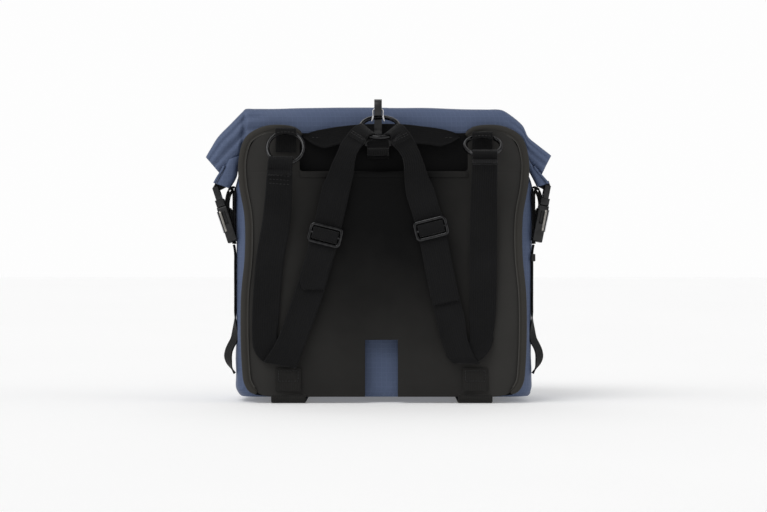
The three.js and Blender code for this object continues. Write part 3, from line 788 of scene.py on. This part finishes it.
def panel_mesh(node, depth_of, mouth_z):
    """The panel as grids: two feet beside the notch, the middle, and the two shoulders beside the mouth."""
    low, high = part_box(node)
    foot = np.concatenate([[low.z + 0.05 * MM], np.linspace(low.z + 1.5 * MM, NOTCH[2], 22)])
    middle = np.linspace(NOTCH[2], mouth_z, 60)
    crest = high.z - np.array([5.5, 3.5, 1.8, 0.5, 0.1]) * MM
    shoulder = np.concatenate([np.linspace(mouth_z, high.z - 8 * MM, 16), crest])
    parts = []
    for sign, notch in ((-1, NOTCH[0]), (1, NOTCH[1])):
        flat_edge = sign * FLAT_HALF
        mouth_edge = sign * MOUTH_HALF
        for rows in (foot, middle):
            parts.append(patch(notch, flat_edge, rows, 12, depth_of))
            parts.append(patch(flat_edge, mouth_edge, rows, 14, depth_of))
            parts.append(patch(mouth_edge, edge_of(node, sign, rows), rows, 18, depth_of))
        start = edge_of(node, sign, shoulder, inner=True)
        parts.append(patch(start, edge_of(node, sign, shoulder), shoulder, 18, depth_of))
    parts.append(patch(NOTCH[0], NOTCH[1], middle, 10, depth_of))
    return join(*parts)


def panel_piece(name, node, depth_of, mouth_z, thick, material):
    """A film panel with thickness and softened edges, from its grids."""
    points, faces = panel_mesh(node, depth_of, mouth_z)
    mesh = bpy.data.meshes.new(name)
    mesh.from_pydata([tuple(map(float, p)) for p in points], [], faces)
    work = bmesh.new()
    work.from_mesh(mesh)
    bmesh.ops.remove_doubles(work, verts=work.verts, dist=0.02 * MM)
    bmesh.ops.recalc_face_normals(work, faces=work.faces)
    if sum(f.normal.y for f in work.faces) > 0:
        bmesh.ops.reverse_faces(work, faces=work.faces)
    work.to_mesh(mesh)
    work.free()
    mesh.materials.append(material)
    mesh.shade_smooth()
    obj = new_object(name, mesh)
    apply_modifier(obj, "SOLIDIFY", thickness=thick, offset=-1.0, use_quality_normals=True, use_rim=True)
    apply_modifier(obj, "BEVEL", width=0.5 * MM, segments=2, limit_method="ANGLE",
                   angle_limit=math.radians(50))
    obj.data.shade_smooth()
    attach(obj, "bag", (node,))


def sleeve_depth(x, z):
    """The sleeve lies flat on the carrier in the middle, and swells and ripples towards its welded edges."""
    side = smoothstep(0.075, 0.125, abs(x))
    edge = smoothstep(0.120, 0.146, abs(x))
    shoulder = smoothstep(0.235, 0.262, z) * smoothstep(0.085, 0.115, abs(x))
    swell = 1.6 * MM * side - 1.5 * MM * edge + 1.2 * MM * shoulder
    foot = 1.2 * MM * smoothstep(0.05, 0.01, z)
    ripple = wobble((x, 3.0, z * 0.7), 0.055, 1.6 * MM) * (0.35 + 0.65 * side)
    lip = -0.8 * MM * smoothstep(0.236, MOUTH_Z, z) * smoothstep(0.1, 0.07, abs(x))
    return SLEEVE_Y + 1.2 * MM - swell + foot * 0.4 + ripple * 0.6 + lip


def liner_depth(x, z):
    """The liner lies flat on the body, with slight waves."""
    return LINER_Y + 0.3 * MM + wobble((x, 9.0, z), 0.05, 0.5 * MM)


def welt_place(p, inward, across, out):
    """A place on the welded edge: across from its path and out from the back wall, in millimetres."""
    return (p[0] + inward[0] * across * MM, BACK_Y + out * MM, p[1] + inward[1] * across * MM)


def welt(name, sign):
    """The welded edge: a flat flange with a pressed line inside it, along the side and round the shoulder."""
    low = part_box("edge_welt_" + name)[0]
    path = spline([(sign * x * MM, z * MM) for x, z in PANEL], 170)
    path = path[path[:, 1] > low.z - 13.4 * MM]
    along = np.gradient(path, axis=0)
    along /= np.linalg.norm(along, axis=1)[:, None]
    inward = np.stack([-along[:, 1], along[:, 0]], axis=1) * sign
    profile = [(0.4, -1.7), (0, -3.4), (0, -13), (0.5, -14.6), (1.8, -15.5), (5.4, -15.9), (6.1, -15.3),
               (6.6, -15.2), (7.1, -16.0), (7.8, -16.2), (8.3, -15.7), (8.5, -14.5), (8.2, -1.7)]
    half = 4.2
    ripples = [wobble((x, z, 5.0), 0.03, 0.7) * 0.5 for x, z in path]
    sections = []
    for i, (p, n, ripple) in enumerate(zip(path, inward, ripples)):
        end = min(i, len(path) - 1 - i)
        taper = min(1.0, 0.45 + 0.55 * math.sqrt(min(1.0, end / 5)))
        ring = [welt_place(p, n, half + (d - half) * taper, y + ripple * smoothstep(-8, -14, y))
                for d, y in profile]
        sections.append(ring if sign > 0 else ring[::-1])
    piece("welded_edge_" + name, loft(sections), "bag", "black_panel", ("edge_welt_" + name,), WELT)
    rows = list(zip(path, inward, ripples))[3:-6]
    line = [welt_place(p, n, 8.2, ripple - 15.7) for p, n, ripple in rows]
    piece("weld_line_" + name, tube(line, 0.55 * MM, sides=10), "bag", "black_panel", material=WELD_LINE)


def mouth_hem():
    """The turned and welded hem of the sleeve's mouth."""
    profile = [(-1, 0.8), (-5.9, 0.5), (-5.9, -0.45), (-5.2, -0.75), (-0.6, -1.0), (0.4, -0.7), (0.9, 0),
               (0.9, 1.2), (0.5, 2.2)]
    rows = []
    for x in np.linspace(-MOUTH_HALF, MOUTH_HALF, 61):
        y = sleeve_depth(x, MOUTH_Z)
        z = MOUTH_Z + wobble((x, 0, 2), 0.04, 0.6 * MM)
        rows.append([(x, y + d * MM, z + u * MM) for u, d in profile])
    piece("mouth_hem", loft(rows), "bag", "black_panel")


# ---------------------------------------------------------------- straps under the base

def base_strap(name):
    """A broad strap that comes down over the sleeve's foot and runs under the base as a runner."""
    low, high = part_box("base_strap_" + name)
    x = (low.x + high.x) / 2
    near, far = low.y + 1.4 * MM, high.y - 6 * MM
    route = [(near, 3.6, 9, -0.6, 1), (near, 0.6, 6.4, -1, 0.2), (near, 0.6, 3.6, -1, -0.3),
             (near, 2.4, 1.9, -0.8, -0.6), (near, 8, 1.3, -0.2, -1), (near, 30, 1.2, 0, -1),
             (0, 0, 1.2, 0, -1), (far, -20, 1.2, 0, -1), (far, -4, 2.0, 0.3, -1), (far, 2, 4.4, 1, -0.6)]
    rows = [(start + y * MM, z * MM, out, up) for start, y, z, out, up in route]
    profile_strap("runner_" + name, x, high.x - low.x - 1 * MM, rows, "bag",
                  replaced=("base_strap_" + name,), thick=2.2 * MM, steps=90, material=LIT_BASE_WEBBING)


def strap_patch(name):
    """The short strap end sewn to the sleeve above each runner."""
    low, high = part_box("strap_patch_" + name)
    line = [((low.x + high.x) / 2, low.y + 0.5 * MM, z) for z in np.linspace(low.z + 6 * MM, high.z, 6)]
    strap("patch_" + name, line, high.x - low.x, (0, -1, 0), "bag",
          replaced=("strap_patch_" + name,), thick=1.4 * MM, steps=24, material=LIT_BASE_WEBBING)
    edge = 3 * MM
    x0, x1, y, z0, z1 = low.x + edge, high.x - edge, low.y - 0.25 * MM, low.z + 17 * MM, high.z - edge
    square = [(x0, y, z0), (x1, y, z0), (x1, y, z1), (x0, y, z1), (x0, y, z0)]
    stitches("patch_stitches_" + name, square, "bag")


# ---------------------------------------------------------------- handle

def carry_handle():
    """Wide webbing folded to points at its sewn ends, bowed out from the panel."""
    low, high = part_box("carry_handle")
    middle = (low.x + high.x) / 2
    half = (high.x - low.x) / 2
    sewn_y = BACK_Y - 5.2 * MM
    bow = sewn_y - low.y - 1.4 * MM

    def place(share):
        return middle + half * share, sewn_y - bow * math.cos(share * math.pi / 2) ** 0.5

    outline = [(-1.0, 287, 285.6), (-0.93, 290, 280.6), (-0.85, 292.2, 276.6), (-0.74, 294.0, 273.4),
               (-0.66, 295.2, 274.6), (-0.56, 296.4, 277.0), (-0.3, 298.6, 278.4), (0.0, 299.4, 278.8),
               (0.3, 298.8, 278.4), (0.56, 296.4, 277.2), (0.66, 295.4, 276.2), (0.74, 294.4, 275.2),
               (0.85, 292.4, 278.0), (0.93, 290.2, 281.4), (1.0, 287, 285.6)]
    edges = []
    for share, top, bottom in outline:
        x, y = place(share)
        edges.append(((x, y - 0.8 * MM, bottom * MM), (x, y + 0.6 * MM, top * MM)))
    ribbon("handle_webbing", edges, "handle", replaced=("carry_handle",), thick=1.9 * MM, steps=110,
           crown=-1.2 * MM)
    for name, sign in SIDES:
        line = []
        for share, up in ((0.80, 284.64), (0.86, 284.85), (0.90, 285.0)):
            x, y = place(share * sign)
            line.append((x, y - 2.0 * MM, up * MM))
        stitches("handle_stitches_" + name, line, "handle")


# ---------------------------------------------------------------- rings, hook and tabs

def ring_frame(node):
    """Centre, two directions in the plane, and radius of a CAD ring, with the radius of its bar."""
    co = corners_of(node)
    centre = co.mean(axis=0)
    _, _, axes = np.linalg.svd(co - centre, full_matrices=False)
    flat = np.hypot((co - centre) @ axes[0], (co - centre) @ axes[1])
    radius = (flat.max() + flat.min()) / 2
    across = np.array((1.0, 0.0, 0.0))
    up = np.cross(axes[2], across)
    up /= np.linalg.norm(up)
    return centre, across, up if up[2] > 0 else -up, radius, (flat.max() - flat.min()) / 2


def ring(name, node, body):
    centre, across, up, radius, bar = ring_frame(node)
    turns = np.linspace(0, 2 * math.pi, 96, endpoint=False)
    path = [centre + across * math.cos(a) * radius + up * math.sin(a) * radius for a in turns]
    piece(name, tube(path, bar, closed=True, sides=20), body, "dark_metal", (node,))


def ring_tab(name):
    """The anchor loop that each side ring hangs from, with its arched front edge."""
    node = "ring_tab_" + name
    low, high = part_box(node)
    x = (low.x + high.x) / 2
    width = high.x - low.x
    top = high.z - 0.9 * MM
    front = low.y + 0.9 * MM
    rear = high.y - 0.9 * MM
    rows = [(rear, low.z, 1, 0), (rear, low.z + 8 * MM, 1, 0), (rear, top - 5 * MM, 1, 0.2),
            (rear - 1.6 * MM, top - 1.2 * MM, 0.7, 1), ((front + rear) / 2, top, 0, 1),
            (front + 0.7 * MM, top - 0.4 * MM, -0.7, 1), (front, top - 4.5 * MM, -1, 0.2),
            (front - 0.3 * MM, top - 7.5 * MM, -1, -0.1)]
    obj = profile_strap("ring_anchor_" + name, x, width, rows, "bag", replaced=(node,), thick=1.5 * MM,
                        steps=60)
    for v in obj.data.vertices:
        share = (v.co.x - x) / (width / 2)
        hang = smoothstep(top - 2 * MM, top - 9 * MM, v.co.z)
        hang *= smoothstep(rear - 4 * MM, front + 2 * MM, v.co.y)
        v.co.z += hang * (2.6 * MM - 3.0 * MM * share * share)
    y = front - 0.95 * MM
    row = [(x + width / 2 * s, y, top - 3.6 * MM - 0.8 * MM * s * s) for s in np.linspace(-0.85, 0.85, 9)]
    stitches("ring_anchor_stitches_" + name, row, "bag")


def hook_tab():
    """The anchor strap that holds the hook's frame."""
    low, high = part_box("hook_tab")
    x = (low.x + high.x) / 2
    rows = [(high.y - 1 * MM, low.z, -1, 0.2), (high.y - 1.2 * MM, low.z + 6 * MM, -0.8, 0.6),
            (-0.0640, 0.2735, -0.6, 1), (-0.0735, 0.2790, -0.3, 1), (-0.0795, 0.2797, -0.4, 1),
            (low.y + 1 * MM, 0.2768, -1, 0), (-0.0800, 0.2738, -0.3, -1), (-0.0720, 0.2722, 0.4, -1),
            (-0.0600, 0.2660, 0.5, -1)]
    profile_strap("hook_anchor", x, high.x - low.x + 3 * MM, rows, "bag", replaced=("hook_tab",),
                  thick=1.4 * MM, steps=70, material=SHADED_WEBBING)


# ---------------------------------------------------------------- harness

def outer_leg(name):
    """The outer strap: from the fold at the foot up to the side ring, over its lower bar and down again."""
    node = "strap_outer_" + name
    body = "harness_" + name
    line, widths = leg_line(node, 13, lowest=0.075, highest=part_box(node)[1].z - 5 * MM)
    centre, _, up, radius, bar = ring_frame("side_ring_" + name)
    forward = np.array((0.0, -up[2], up[1]))
    forward *= math.copysign(1, -forward[1])
    hold = math.sqrt(radius ** 2 - (12 * MM) ** 2) - bar - 1.2 * MM
    lift = bar + 1.2 * MM
    half = 13.2 * MM
    lean = (line[-1][0] - line[-4][0]) / (line[-1][2] - line[-4][2])
    over = [(radius + 0.5 * MM, lift), (hold + 2.2 * MM, lift * 0.8), (hold, 0),
            (hold + 2.2 * MM, -lift * 0.8), (radius, -lift), (radius + 12 * MM, -lift * 0.9)]
    places = [centre - up * down + forward * out for down, out in over]
    foot_x = line[-1][0] + lean * (places[0][2] - line[-1][2])
    edges = placed(FOOT[name]["outer"]) + line_edges(line, widths)
    for p in places:
        x = foot_x + lean * (p[2] - places[0][2])
        edges.append((np.array((x - half, p[1], p[2])), np.array((x + half, p[1], p[2]))))
    ribbon("outer_leg_" + name, edges, body, replaced=(node, "side_loop_" + name), steps=210)
    shares = (0.15, 0.45, 0.75)
    seam_rows("outer_seam_" + name, edges[-8], edges[-7], shares, forward * 1.1 * MM, body, forward)


# The foot of each harness strap, as edge pairs of across, depth from the back wall and up, in millimetres. The
# outer leg's end runs from the fold upwards, and the inner leg's end lies in front of it
FOOT = {
    "left": {
        "outer": [((-128.2, -19.6, 44.6), (-93.5, -19.8, 38.0)), ((-131.5, -18.6, 47), (-101, -18.6, 44)),
                  ((-136.5, -17.9, 53), (-108, -17.9, 52)), ((-139.8, -17.7, 61), (-112, -17.7, 62))],
        "inner": [((-128.2, -20.6, 44.6), (-93.5, -20.8, 38.0)), ((-125.5, -22.6, 49), (-91.5, -22.8, 42.5)),
                  ((-117.5, -22.2, 61), (-87.5, -22.4, 53)), ((-110.5, -21.4, 76), (-82.5, -21.4, 66))],
    },
    "right": {
        "outer": [((76, -19.6, 43.5), (101.5, -20.0, 44.8)), ((82, -18.6, 47), (108, -23.0, 50.5)),
                  ((87, -17.9, 53), (113.5, -21.0, 58)), ((90.5, -17.7, 62), (117, -18.4, 67))],
        "inner": [((73.5, -20.6, 43.4), (103.5, -21.2, 42.6)), ((68.6, -22.6, 48.5), (98, -23.2, 48)),
                  ((64.5, -22.2, 58), (92.5, -22.2, 60)), ((60.5, -21.4, 70), (88.6, -21.4, 74))],
    },
}


# Each inner strap's run up to the centre ring, as edge pairs of across, depth and up, outer edge first
TOP = {
    "left": [((-59.2, -24.4, 245.6), (-32.0, -24.8, 245.6)), ((-55.0, -30.6, 256.0), (-30.9, -32.4, 256.0)),
             ((-50.0, -37.5, 266.3), (-28.9, -40.5, 264.6)), ((-44.8, -42.5, 277.5), (-25.3, -47.0, 271.0)),
             ((-37.1, -44.5, 287.6), (-19.9, -52.5, 276.8))],
    "right": [((21.8, -24.8, 246.0), (46.3, -24.4, 246.0)), ((21.2, -32.4, 255.5), (43.1, -30.6, 255.5)),
              ((19.2, -40.5, 262.8), (39.0, -37.5, 266.0)), ((14.8, -47.0, 269.3), (34.9, -42.5, 275.0)),
              ((9.1, -52.5, 275.2), (29.3, -44.5, 284.8))],
}


def placed(pairs):
    """Edge pairs in millimetres from the back wall, as places in metres."""
    return [tuple(np.array((x * MM, BACK_Y + y * MM, z * MM)) for x, y, z in pair) for pair in pairs]


def inner_leg(name, sign):
    """The inner strap: from the fold at the foot, through the slider, up to the centre ring."""
    node = "strap_inner_" + name
    line, widths = leg_line(node, 9, lowest=0.088, highest=0.228)
    edges = placed(FOOT[name]["inner"]) + line_edges(line, widths) + placed(TOP[name])
    centre, radial, tangent, _ = ring_seat(sign)
    edges.append(seat_pair(centre + radial * 24.5 * MM, tangent, 11.5 * MM))
    joint_y = joint_of("harness_" + name)["pos_m"][1]
    span = ("bag", "harness_" + name, (0, joint_y, 0.268), (0, joint_y, 0.196))
    ribbon("inner_leg_" + name, edges, span, replaced=(node, "strap_top_" + name), steps=190)
    tail, tail_widths = leg_line("strap_tail_" + name, 6)
    tail[0, 1] -= 0.8 * MM
    strap("strap_end_" + name, tail, tail_widths, (0, -1, 0), "harness_" + name,
          replaced=("strap_tail_" + name,), thick=1.6 * MM, steps=50)


def line_edges(line, widths):
    """Left and right edges of a strap that faces the harness side, along its centre line."""
    edges = []
    for p, t, w in zip(line, np.gradient(line, axis=0), widths):
        side = np.cross((0.0, -1.0, 0.0), t)
        side *= math.copysign(1, -side[0]) / np.linalg.norm(side)
        edges.append((p + side * w / 2, p - side * w / 2))
    return edges


def ring_seat(sign):
    """Where a strap holds the centre ring: its centre, the way out, the way along the bar, and its front."""
    centre, across, up, _, _ = ring_frame("centre_ring")
    angle = math.radians(-90 + sign * 57)
    radial = across * math.cos(angle) + up * math.sin(angle)
    tangent = -across * math.sin(angle) + up * math.cos(angle)
    front = np.cross(across, up)
    return centre, radial, tangent, front if front[1] < 0 else -front


def seat_pair(middle, tangent, half):
    """Edge points on both sides of a place on the ring, the one further to -X first."""
    a, b = middle - tangent * half, middle + tangent * half
    return (a, b) if a[0] < b[0] else (b, a)


def ring_fold(name, sign):
    """The strap's sewn end: up in front of the ring's bar, folded inside the ring, and down behind it."""
    _, _, _, radius, bar = ring_frame("centre_ring")
    centre, radial, tangent, front = ring_seat(sign)
    hold = math.sqrt(radius ** 2 - (12.5 * MM) ** 2) - bar - 0.9 * MM
    lift = bar + 1.2 * MM
    before, last = placed(TOP[name])[-2:]
    near = np.array((0, -2.4, 0.8)) * MM
    seat = seat_pair(centre + radial * radius + front * lift, tangent, 12 * MM)
    edges = [tuple(0.8 * p + 0.2 * q + near for p, q in zip(last, before)),
             tuple(0.55 * p + 0.45 * q + near * 1.2 for p, q in zip(last, seat))]
    for out, up, half in ((radius, lift, 12), (hold + 2.4 * MM, lift * 0.8, 12.3), (hold, 0, 12.5),
                          (hold + 2.4 * MM, -lift * 0.8, 12.3), (radius, -lift, 12)):
        edges.append(seat_pair(centre + radial * out + front * up, tangent, half * MM))
    edges.append(tuple(p + (0, 2.2 * MM, -0.8 * MM) for p in last))
    ribbon("ring_fold_" + name, edges, "ring", replaced=("ring_loop_" + name,), thick=1.6 * MM, steps=110)
    lift = np.array((0, -1.3, 0.6)) * MM
    seam_rows("ring_fold_seam_" + name, edges[0], edges[1], (0.4, 0.65), lift, "ring")


# ---------------------------------------------------------------- sliders

def slider(name):
    """A cast slide adjuster: a rounded frame with a middle bar that the webbing wraps."""
    node = "triglide_" + name
    low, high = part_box(node)
    co = corners_of(node)
    centre = (np.array(low) + np.array(high)) / 2
    joint = joint_of("glide_" + name)["axis"]
    up = np.array(joint) / np.linalg.norm(joint)
    across = np.array((up[2], 0.0, -up[0]))
    corner = 3.4 * MM
    half_w = np.abs((co - centre) @ across).max() - 1.75 * MM
    half_h = np.abs((co - centre) @ up).max() - 1.75 * MM
    turns = [(1, -1, -90), (1, 1, 0), (-1, 1, 90), (-1, -1, 180)]
    outline = []
    for k, (cx, cz, start) in enumerate(turns):
        for a in np.radians(np.linspace(start, start + 90, 9)):
            bend = corner * np.array((math.cos(a), math.sin(a)))
            outline.append(np.array((cx * (half_w - corner), cz * (half_h - corner))) + bend)
        next_x, next_z, _ = turns[(k + 1) % 4]
        here = outline[-1]
        there = np.array((next_x * (half_w - corner), next_z * (half_h - corner))) + bend
        outline += [here + (there - here) * t for t in (0.33, 0.66)]
    path = [centre + across * x + up * z for x, z in outline]
    outside = tube(path, 2.0 * MM, closed=True, sides=16, flat=0.85)
    bar = tube([centre + across * s * half_w for s in np.linspace(-1, 1, 9)], 1.5 * MM, sides=14)
    piece("slider_" + name, join(outside, bar), "glide_" + name, "dark_metal", (node,))
    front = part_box("glide_webbing_" + name)[0].y + 0.9 * MM
    # Half of the wrap round the bar: up, depth, and how much it faces up and outwards
    wrap = [(5.6, 3.6, 1, 0.3), (5.2, 1.8, 1, 0.8), (4.2, 0.6, 0.5, 1), (2.4, 0.1, 0, 1)]
    rows = [(-u, d, -lean, out) for u, d, lean, out in wrap] + [(0, -0.1, 0, 1)] + wrap[::-1]
    level = centre * np.array((1, 0, 1))
    path = [level + up * u * MM + np.array((0, front + d * MM, 0)) for u, d, _, _ in rows]
    facing = [up * lean - np.array((0, out, 0)) for _, _, lean, out in rows]
    strap("slider_webbing_" + name, path, 27.5 * MM, facing, "glide_" + name,
          replaced=("glide_webbing_" + name,), thick=1.6 * MM, steps=44, crown=0.3 * MM)


# ---------------------------------------------------------------- side buckles and straps

def side_strap(name, sign):
    """The taut strap down the flank, with its slack loop at the foot, turned a little to the harness side."""
    node = "side_strap_" + name
    low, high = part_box(node)
    y = (low.y + high.y) / 2
    cuts = slices(node, np.linspace(low.z + 1 * MM, high.z - 1 * MM, 24))
    line = [((a + b) / 2, y, z) for a, b, _, z in cuts]
    along = np.gradient(np.array(line), axis=0)
    facing = []
    for (_, _, z), t in zip(line, along):
        turn = -0.5 * smoothstep(98 * MM, 66 * MM, z) * smoothstep(30 * MM, 48 * MM, z)
        facing.append((sign * t[2], turn * abs(t[2]), -sign * t[0]))
    strap("flank_strap_" + name, line, high.y - low.y, facing, "bag", replaced=(node,), thick=1.5 * MM,
          steps=120)


def buckle_strap(name, sign):
    """The doubled strap end between the roll's tongue and the buckle's bar."""
    node = "buckle_webbing_" + name
    low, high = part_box(node)
    upper_x, upper_z, lower_x, lower_z, _ = TONGUE[name][-1]
    top_x = (upper_x + lower_x) / 2 * MM
    top_z = (upper_z + lower_z) / 2 * MM + 2.5 * MM
    male_low, male_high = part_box("buckle_male_" + name)
    y = (low.y + high.y) / 2
    half_y = (high.y - low.y) / 2
    end_x = male_low.x + 3.4 * MM if sign < 0 else male_high.x - 3.4 * MM
    sections = []
    for t in np.linspace(0, 1, 14):
        x = top_x + (end_x - top_x) * t
        z = top_z + (male_high.z - 3 * MM - top_z) * t
        half = (6.8 - 3.2 * t) * MM
        ring = []
        for k in range(28):
            a = 2 * math.pi * k / 28
            c, s = math.cos(a), math.sin(a)
            px = x + math.copysign(abs(c) ** 0.35, c) * half
            py = y + math.copysign(abs(s) ** 0.35, s) * half_y
            ring.append((px, py, z + (px - x) * sign * 0.35 + wobble((px, py, z), 0.01, 0.5 * MM)))
        sections.append(ring)
    shape = loft(sections)
    uvs = [(z, y) for _, y, z in shape[0]]
    piece("buckle_strap_" + name, shape, "roll_end_" + name, "webbing", (node,), uvs=uvs)


def buckle_trim(name, sign):
    """The bright plate's turned edge, let into the narrow side of the buckle that faces the harness."""
    co = corners_of("buckle_plate_" + name)
    top = co[co[:, 2] > co[:, 2].max() - 1 * MM].mean(axis=0)
    foot = co[co[:, 2] < co[:, 2].min() + 1 * MM].mean(axis=0)
    along = (top - foot) / np.linalg.norm(top - foot)
    inward = np.array((-sign * abs(along[2]), 0.0, along[0] * sign))
    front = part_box("buckle_female_" + name)[0].y
    sections = []
    for t in np.linspace(0.02, 0.98, 8):
        ring = []
        for d, y in ((1.9, 0.5), (1.9, -0.05), (2.2, -0.3), (4.0, -0.3), (4.3, -0.05), (4.3, 0.5)):
            x, _, z = foot + (top - foot) * t + inward * d * MM
            ring.append((x, front + y * MM, z))
        sections.append(ring if sign > 0 else ring[::-1])
    piece("buckle_trim_" + name, loft(sections), "bag", "bright_metal", material=DULL_PLATE)


def strap_return(name, sign):
    """The side strap's doubled run behind the buckle: up the flank, over and down, its end tucked inside."""
    low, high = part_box("buckle_female_" + name)
    y = (low.y + high.y) / 2
    seat = 159.4 if sign < 0 else 159.8
    line = [(3.6, 171), (2.4, 182), (1.7, 196), (1.3, 214), (1.4, 227), (3.4, 232.4), (6.8, 231.0),
            (9.6, 225.6), (11.2, 217), (10.4, 208), (7.8, 199)]
    facing = [(sign, 0, 0)] * 5 + [(0, 0, 1), (-sign * 0.6, 0, 1), (-sign, 0, 0.4)] + [(-sign, 0, 0)] * 3
    for k, (inset, drop) in enumerate(((0.0, 0.0), (1.9, 2.2))):
        path = []
        for x, z in line:
            inward = inset if x < 5 and z > 175 else -inset
            up = z - (drop if z > 205 else 0)
            path.append((sign * (seat + x + inward) * MM, y + k * 0.8 * MM, up * MM))
        strap(f"strap_return_{name}_{k}", path, 21 * MM, facing, "bag", steps=90)
    tucked = [(4.6, 174), (5.0, 184), (4.8, 196), (5.6, 205.5), (7.2, 209), (8.6, 205), (8.4, 197)]
    facing = [(sign, 0, 0)] * 3 + [(sign, 0, 0.6), (0, 0, 1), (-sign, 0, 0.6), (-sign, 0, 0)]
    path = [(sign * (seat + x) * MM, y, z * MM) for x, z in tucked]
    strap(f"strap_return_{name}_2", path, 20 * MM, facing, "bag", steps=50)


# ---------------------------------------------------------------- stage

def studio():
    """A pale floor and soft lights from above and both sides."""
    scene = bpy.context.scene
    scene.view_settings.view_transform = "Standard"
    world = bpy.data.worlds.new("studio")
    scene.world = world
    world.use_nodes = True
    tree = world.node_tree
    background = tree.nodes["Background"]
    background.inputs["Color"].default_value = (1.0, 1.0, 1.0, 1)
    background.inputs["Strength"].default_value = 0.42
    seen = tree.nodes.new("ShaderNodeBackground")
    seen.inputs["Color"].default_value = (0.985, 0.985, 0.985, 1)
    rays = tree.nodes.new("ShaderNodeLightPath")
    mix = tree.nodes.new("ShaderNodeMixShader")
    tree.links.new(rays.outputs["Is Camera Ray"], mix.inputs[0])
    tree.links.new(background.outputs[0], mix.inputs[1])
    tree.links.new(seen.outputs[0], mix.inputs[2])
    tree.links.new(mix.outputs[0], tree.nodes["World Output"].inputs["Surface"])

    mesh = bpy.data.meshes.new("floor")
    reach = 14.0
    corners = [(x * reach, y * reach, 0) for x, y in ((-1, -1), (1, -1), (1, 1), (-1, 1))]
    mesh.from_pydata(corners, [], [(0, 1, 2, 3)])
    floor = new_object("floor", mesh)
    paint = Nodes("floor_paint")
    tone = paint.noise(paint.place(), 1.5)
    paint.set(Base_Color=paint.ramp(tone, 0.3, 0.7, [(0.86, 0.86, 0.86), (0.88, 0.88, 0.88)]))
    mesh.materials.append(paint.done(Roughness=0.9, Specular_IOR_Level=0.1, Emission_Color=(1, 1, 1, 1),
                                     Emission_Strength=0.17))

    lights = (
        ("key", (0.45, 0.65, -1.0), 1.15, 35),
        ("left", (1.0, 0.25, -0.35), 0.5, 50),
        ("right", (-1.0, 0.25, -0.35), 0.5, 50),
        ("behind", (0.1, -0.8, -0.8), 0.45, 50),
    )
    for name, direction, strength, spread in lights:
        light = bpy.data.lights.new(name, "SUN")
        light.energy = strength
        light.angle = math.radians(spread)
        lamp = new_object(name, light)
        lamp.rotation_mode = "QUATERNION"
        lamp.rotation_quaternion = Vector(direction).to_track_quat("-Z", "Y")

    camera = bpy.data.cameras.new("camera")
    camera.lens = 105
    camera.sensor_width = 36
    eye = new_object("camera", camera)
    eye.location = (-0.0002, SLEEVE_Y - 2.394, 0.1578)
    eye.rotation_euler = (math.radians(90), 0, 0)
    scene.camera = eye


# ---------------------------------------------------------------- assembly

bag_shell()
panel_piece("sleeve", "sleeve_panel", sleeve_depth, MOUTH_Z, 1.6 * MM, MATERIALS["black_panel"])
panel_piece("liner", "back_liner", liner_depth, 0.290, 1.4 * MM, SHADED_LINING)
mouth_hem()
carry_handle()
hook_tab()
refined("hook", "hook_body", "hook", "black_plastic", 0.9 * MM)
refined("gate_wire", "hook_gate", "gate", "bright_metal", 0)
ring("centre_ring_bar", "centre_ring", "ring")
refined("keeper", "strap_keeper", "bag", "black_plastic", 0.3 * MM)
for side_name, side_sign in SIDES:
    roll_half(side_name, side_sign)
    end_hem(side_name, side_sign)
    welt(side_name, side_sign)
    base_strap(side_name)
    strap_patch(side_name)
    ring("side_ring_bar_" + side_name, "side_ring_" + side_name, "harness_" + side_name)
    ring_tab(side_name)
    outer_leg(side_name)
    inner_leg(side_name, side_sign)
    ring_fold(side_name, side_sign)
    slider(side_name)
    side_strap(side_name, side_sign)
    buckle_strap(side_name, side_sign)
    strap_return(side_name, side_sign)
    buckle_trim(side_name, side_sign)
    buckle = f"buckle_%s_{side_name}"
    refined(buckle % "prongs", buckle % "male", "roll_end_" + side_name, "black_plastic", 0.5 * MM)
    refined(buckle % "socket", buckle % "female", "bag", "black_plastic", 0.7 * MM)
    refined(buckle % "face", buckle % "plate", "bag", "bright_metal", 0.35 * MM)

for inner_node in ("base_board", "back_stiffener", "roll_stiffener"):
    inner_mesh = frame["nodes"][inner_node].data
    inner_mesh.materials.clear()
    inner_mesh.materials.append(MATERIALS["stiff_board"])

studio()
